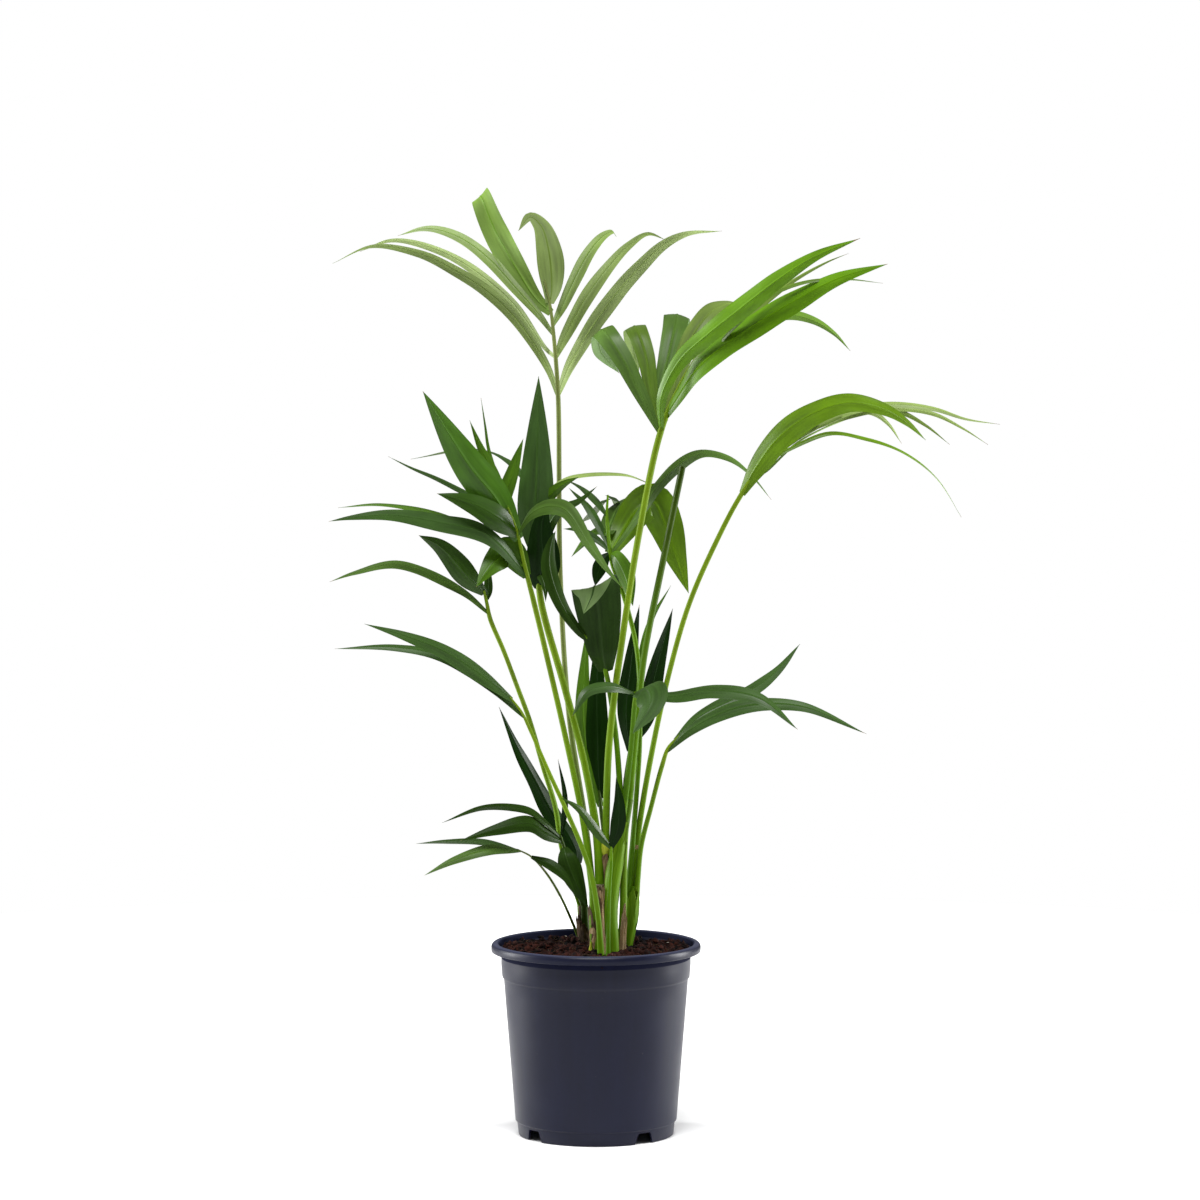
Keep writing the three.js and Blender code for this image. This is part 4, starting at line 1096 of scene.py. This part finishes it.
def make_pot():
    """The pot with its foot notches and drain holes, its inside duller than its outside."""
    piece = lathe("nursery_pot", pot_profile(), POT_SIDES, [PLASTIC, INSIDE])
    high, low = NOTCH_WIDTH_HIGH / 2, NOTCH_WIDTH_LOW / 2
    right = [(low, -CUT_MARGIN), (high + 1, CHANNEL_HEIGHT - 2), (high - 0.6, CHANNEL_HEIGHT - 0.5)]
    shape = [(-low, -CUT_MARGIN), *right, *[(-x, z) for x, z in right[:0:-1]]]
    tools = []
    for i in range(NOTCHES):
        angle = math.radians(NOTCH_ANGLE + 360 / NOTCHES * i)
        tools.append(cutter(shape, NOTCH_CUT_DEPTH, angle, -FOOT_RADIUS + 8))
    for i in range(DRAIN_HOLES):
        x, y = polar(DRAIN_RING_RADIUS * MM, (i + 0.5) * 2 * math.pi / DRAIN_HOLES)
        bpy.ops.mesh.primitive_cylinder_add(
            vertices=32,
            radius=DRAIN_HOLE_RADIUS * MM,
            depth=12 * MM,
            location=(x, y, (CHANNEL_HEIGHT + 1) * MM),
        )
        tools.append(bpy.context.object)
    cut(piece, tools)
    for face in piece.data.polygons:
        x, y, z = face.center
        inward = x * face.normal.x + y * face.normal.y < -0.3 * math.hypot(x, y)
        face.material_index = 1 if inward and z > INSIDE_FROM * MM else 0
    smooth(piece.data, POT_CREASE_ANGLE)
    hand_in(piece, "pot", "pot")


make_pot()

SOIL_RINGS = 96
SOIL_SIDES = 220
SOIL_TOP_RADIUS = 94.3
SOIL_MIDDLE = 184.6
SOIL_SIDE_RISE = 3.4
SOIL_HIGHEST = 191.0
SOIL_CREASE_ANGLE = 60
CRUMBS = 1900
PERLITE_SHARE = 0.03
STRANDS = 90
LOOSE_RADIUS = 91


def soil_height(x, y):
    """Height of the soil's rough surface: higher at the sides, with two heaps and clumps all over."""
    side = min(1.0, max(0.0, (abs(x) - 55) / 32))
    edge_drop = 0.8 if math.hypot(x, y) > 88 else 0.0
    base = SOIL_MIDDLE + SOIL_SIDE_RISE * side * side * (3 - 2 * side) - edge_drop
    heap = 2.6 * math.exp(-((x + 6) ** 2 + (y - 30) ** 2) / 700)
    heap += 1.4 * math.exp(-((x - 24) ** 2 + (y + 6) ** 2) / 500)
    broad = 2.2 * noise.noise((x / 26, y / 26, 1.0))
    clumps = 7.5 * abs(noise.noise((x / 10, y / 10, 4.0))) + 2.6 * noise.noise((x / 3.6, y / 3.6, 8.0))
    return min(base + heap + broad + clumps - 1.4, SOIL_HIGHEST)


def make_soil():
    """The filling of the pot, a little off its wall and floor, with a rough top."""
    floor = CHANNEL_HEIGHT + CHANNEL_FLOOR + GAP
    profile = [
        (0, PAD_THICKNESS + GAP), (PAD_RADIUS + 1.2, PAD_THICKNESS + GAP), (PAD_RADIUS + 3.6, floor),
        (77.5, floor), (WALL_FOOT_RADIUS - POT_WALL - 2 * GAP, floor + 2.2),
        (WALL_TOP_RADIUS - POT_WALL - 2 * GAP, 158.4), (STEP_RADIUS - POT_WALL - 2 * GAP, 161),
        (COLLAR_RADIUS - POT_WALL - 2 * GAP, COLLAR_LEVEL), (SOIL_TOP_RADIUS, 180),
    ]
    top = [(SOIL_TOP_RADIUS * (1 - i / SOIL_RINGS) ** 0.92, None) for i in range(1, SOIL_RINGS)]
    rows = profile + top + [(0, soil_height(0, 0))]
    piece = lathe("peat_fill", rows, SOIL_SIDES, [PEAT], soil_height)
    smooth(piece.data, SOIL_CREASE_ANGLE)
    hand_in(piece, "soil", "soil")


def lump(bm, centre, size, rng, kind):
    """A small irregular crumb."""
    made = bmesh.ops.create_icosphere(bm, subdivisions=1, radius=1.0)
    stretch = [rng.uniform(0.35, 1.5) for _ in range(3)]
    turn = rng.uniform(0, math.pi)
    cosine, sine = polar(1.0, turn)
    for v in made["verts"]:
        swell = 1 + 0.85 * noise.noise(v.co * 1.7 + Vector((centre[0], centre[1], size)))
        x, y, z = (c * s * size * swell for c, s in zip(v.co, stretch))
        corner = (centre[0] + x * cosine - y * sine, centre[1] + x * sine + y * cosine, centre[2] + z * 0.75)
        v.co = Vector(corner) * MM
    for face in {f for v in made["verts"] for f in v.link_faces}:
        face.material_index = kind
        face.smooth = True


def somewhere(rng, reach):
    """A random place on the soil, within a distance of the pot's axis."""
    distance = reach * math.sqrt(rng.random())
    return polar(distance, rng.uniform(0, 2 * math.pi))


def make_crumbs():
    """Loose crumbs of peat and grains of perlite on the soil."""
    rng = random.Random(7)
    bm = bmesh.new()
    for _ in range(CRUMBS):
        x, y = somewhere(rng, LOOSE_RADIUS)
        size = 0.5 + 4.2 * rng.random() ** 3.0
        kind = 1 if rng.random() < PERLITE_SHARE else 0
        size = size * 0.6 if kind else size
        lump(bm, (x, y, soil_height(x, y) + size * 0.2), size, rng, kind)
    mesh = mesh_from(bm, "peat_crumbs")
    mesh.materials.append(CRUMB)
    mesh.materials.append(PERLITE)
    hand_in(stand("peat_crumbs", mesh), "soil")


def make_strands():
    """Coir strands that lie on the soil."""
    rng = random.Random(8)
    build = Build()
    kind = build.kind(DRY_SHEATH)
    for _ in range(STRANDS):
        x, y = somewhere(rng, 86)
        heading, span = rng.uniform(0, 2 * math.pi), rng.uniform(5, 16)
        points = []
        for i in range(4):
            px = x + span * i / 3 * math.cos(heading) + rng.uniform(-1, 1)
            py = y + span * i / 3 * math.sin(heading) + rng.uniform(-1, 1)
            if math.hypot(px, py) > LOOSE_RADIUS:
                break
            points.append([px, py, soil_height(px, py) + 0.5 + rng.uniform(0, 1.2)])
        if len(points) == 4:
            tube(build, Curve(points), (0, 1), [0.35, 0.12], kind, rng, sides=6, step=1.5, groove=0.0)
    hand_in(build.make("coir_strands"), "soil")


make_soil()
make_crumbs()
make_strands()


# The photograph's camera: its focal length and its frame in pixels, its place and its tilt downward
FOCAL_PIXELS = 5027
FRAME_PIXELS = 1200
SENSOR_WIDTH = 36
CAMERA_PLACE = (0.004, -5.0, 0.905)
CAMERA_TILT = 4.21


def softbox(name, side):
    """A tall light beside and a little behind the plant."""
    light = bpy.data.lights.new(name, "AREA")
    light.shape = "RECTANGLE"
    light.size, light.size_y = 0.9, 2.4
    light.energy = 170
    lamp = stand(name, light)
    lamp.location = (3.2 * side, 0.9, 0.8)
    lamp.rotation_euler = (Vector((0, 0, 0.4)) - lamp.location).to_track_quat("-Z", "Y").to_euler()


def stage_and_light():
    """A plain pale floor, soft studio light and the photograph's camera."""
    bpy.ops.mesh.primitive_circle_add(vertices=96, radius=1.8, fill_type="NGON", location=(0, 0, -0.0004))
    floor = bpy.context.object
    floor.name = "floor"
    paper = Nodes("floor_paper", 0.9, Base_Color=(0.9, 0.9, 0.9, 1), Specular_IOR_Level=0.0)
    floor.data.materials.append(paper.material)

    scene = bpy.context.scene
    scene.world = bpy.data.worlds.new("studio")
    scene.world.use_nodes = True
    tree = scene.world.node_tree
    background = tree.nodes["Background"]
    background.inputs["Color"].default_value = (1, 1, 1, 1)
    path = tree.nodes.new("ShaderNodeLightPath")
    strength = tree.nodes.new("ShaderNodeMapRange")
    strength.inputs["To Min"].default_value = 0.2
    tree.links.new(path.outputs["Is Camera Ray"], strength.inputs["Value"])
    tree.links.new(strength.outputs["Result"], background.inputs["Strength"])
    scene.view_settings.view_transform = "Standard"
    scene.view_settings.look = "None"

    sun = bpy.data.lights.new("overhead", "SUN")
    sun.energy = 3.5
    sun.angle = math.radians(30)
    stand("overhead", sun).rotation_euler = (math.radians(24), math.radians(-2), 0)
    softbox("left_softbox", -1)
    softbox("right_softbox", 1)

    camera = bpy.data.cameras.new("photo_camera")
    camera.sensor_width = SENSOR_WIDTH
    camera.lens = FOCAL_PIXELS / FRAME_PIXELS * SENSOR_WIDTH
    camera.clip_end = 200
    scene.camera = stand("photo_camera", camera)
    scene.camera.location = CAMERA_PLACE
    scene.camera.rotation_euler = (math.radians(90 - CAMERA_TILT), 0, 0)


stage_and_light()
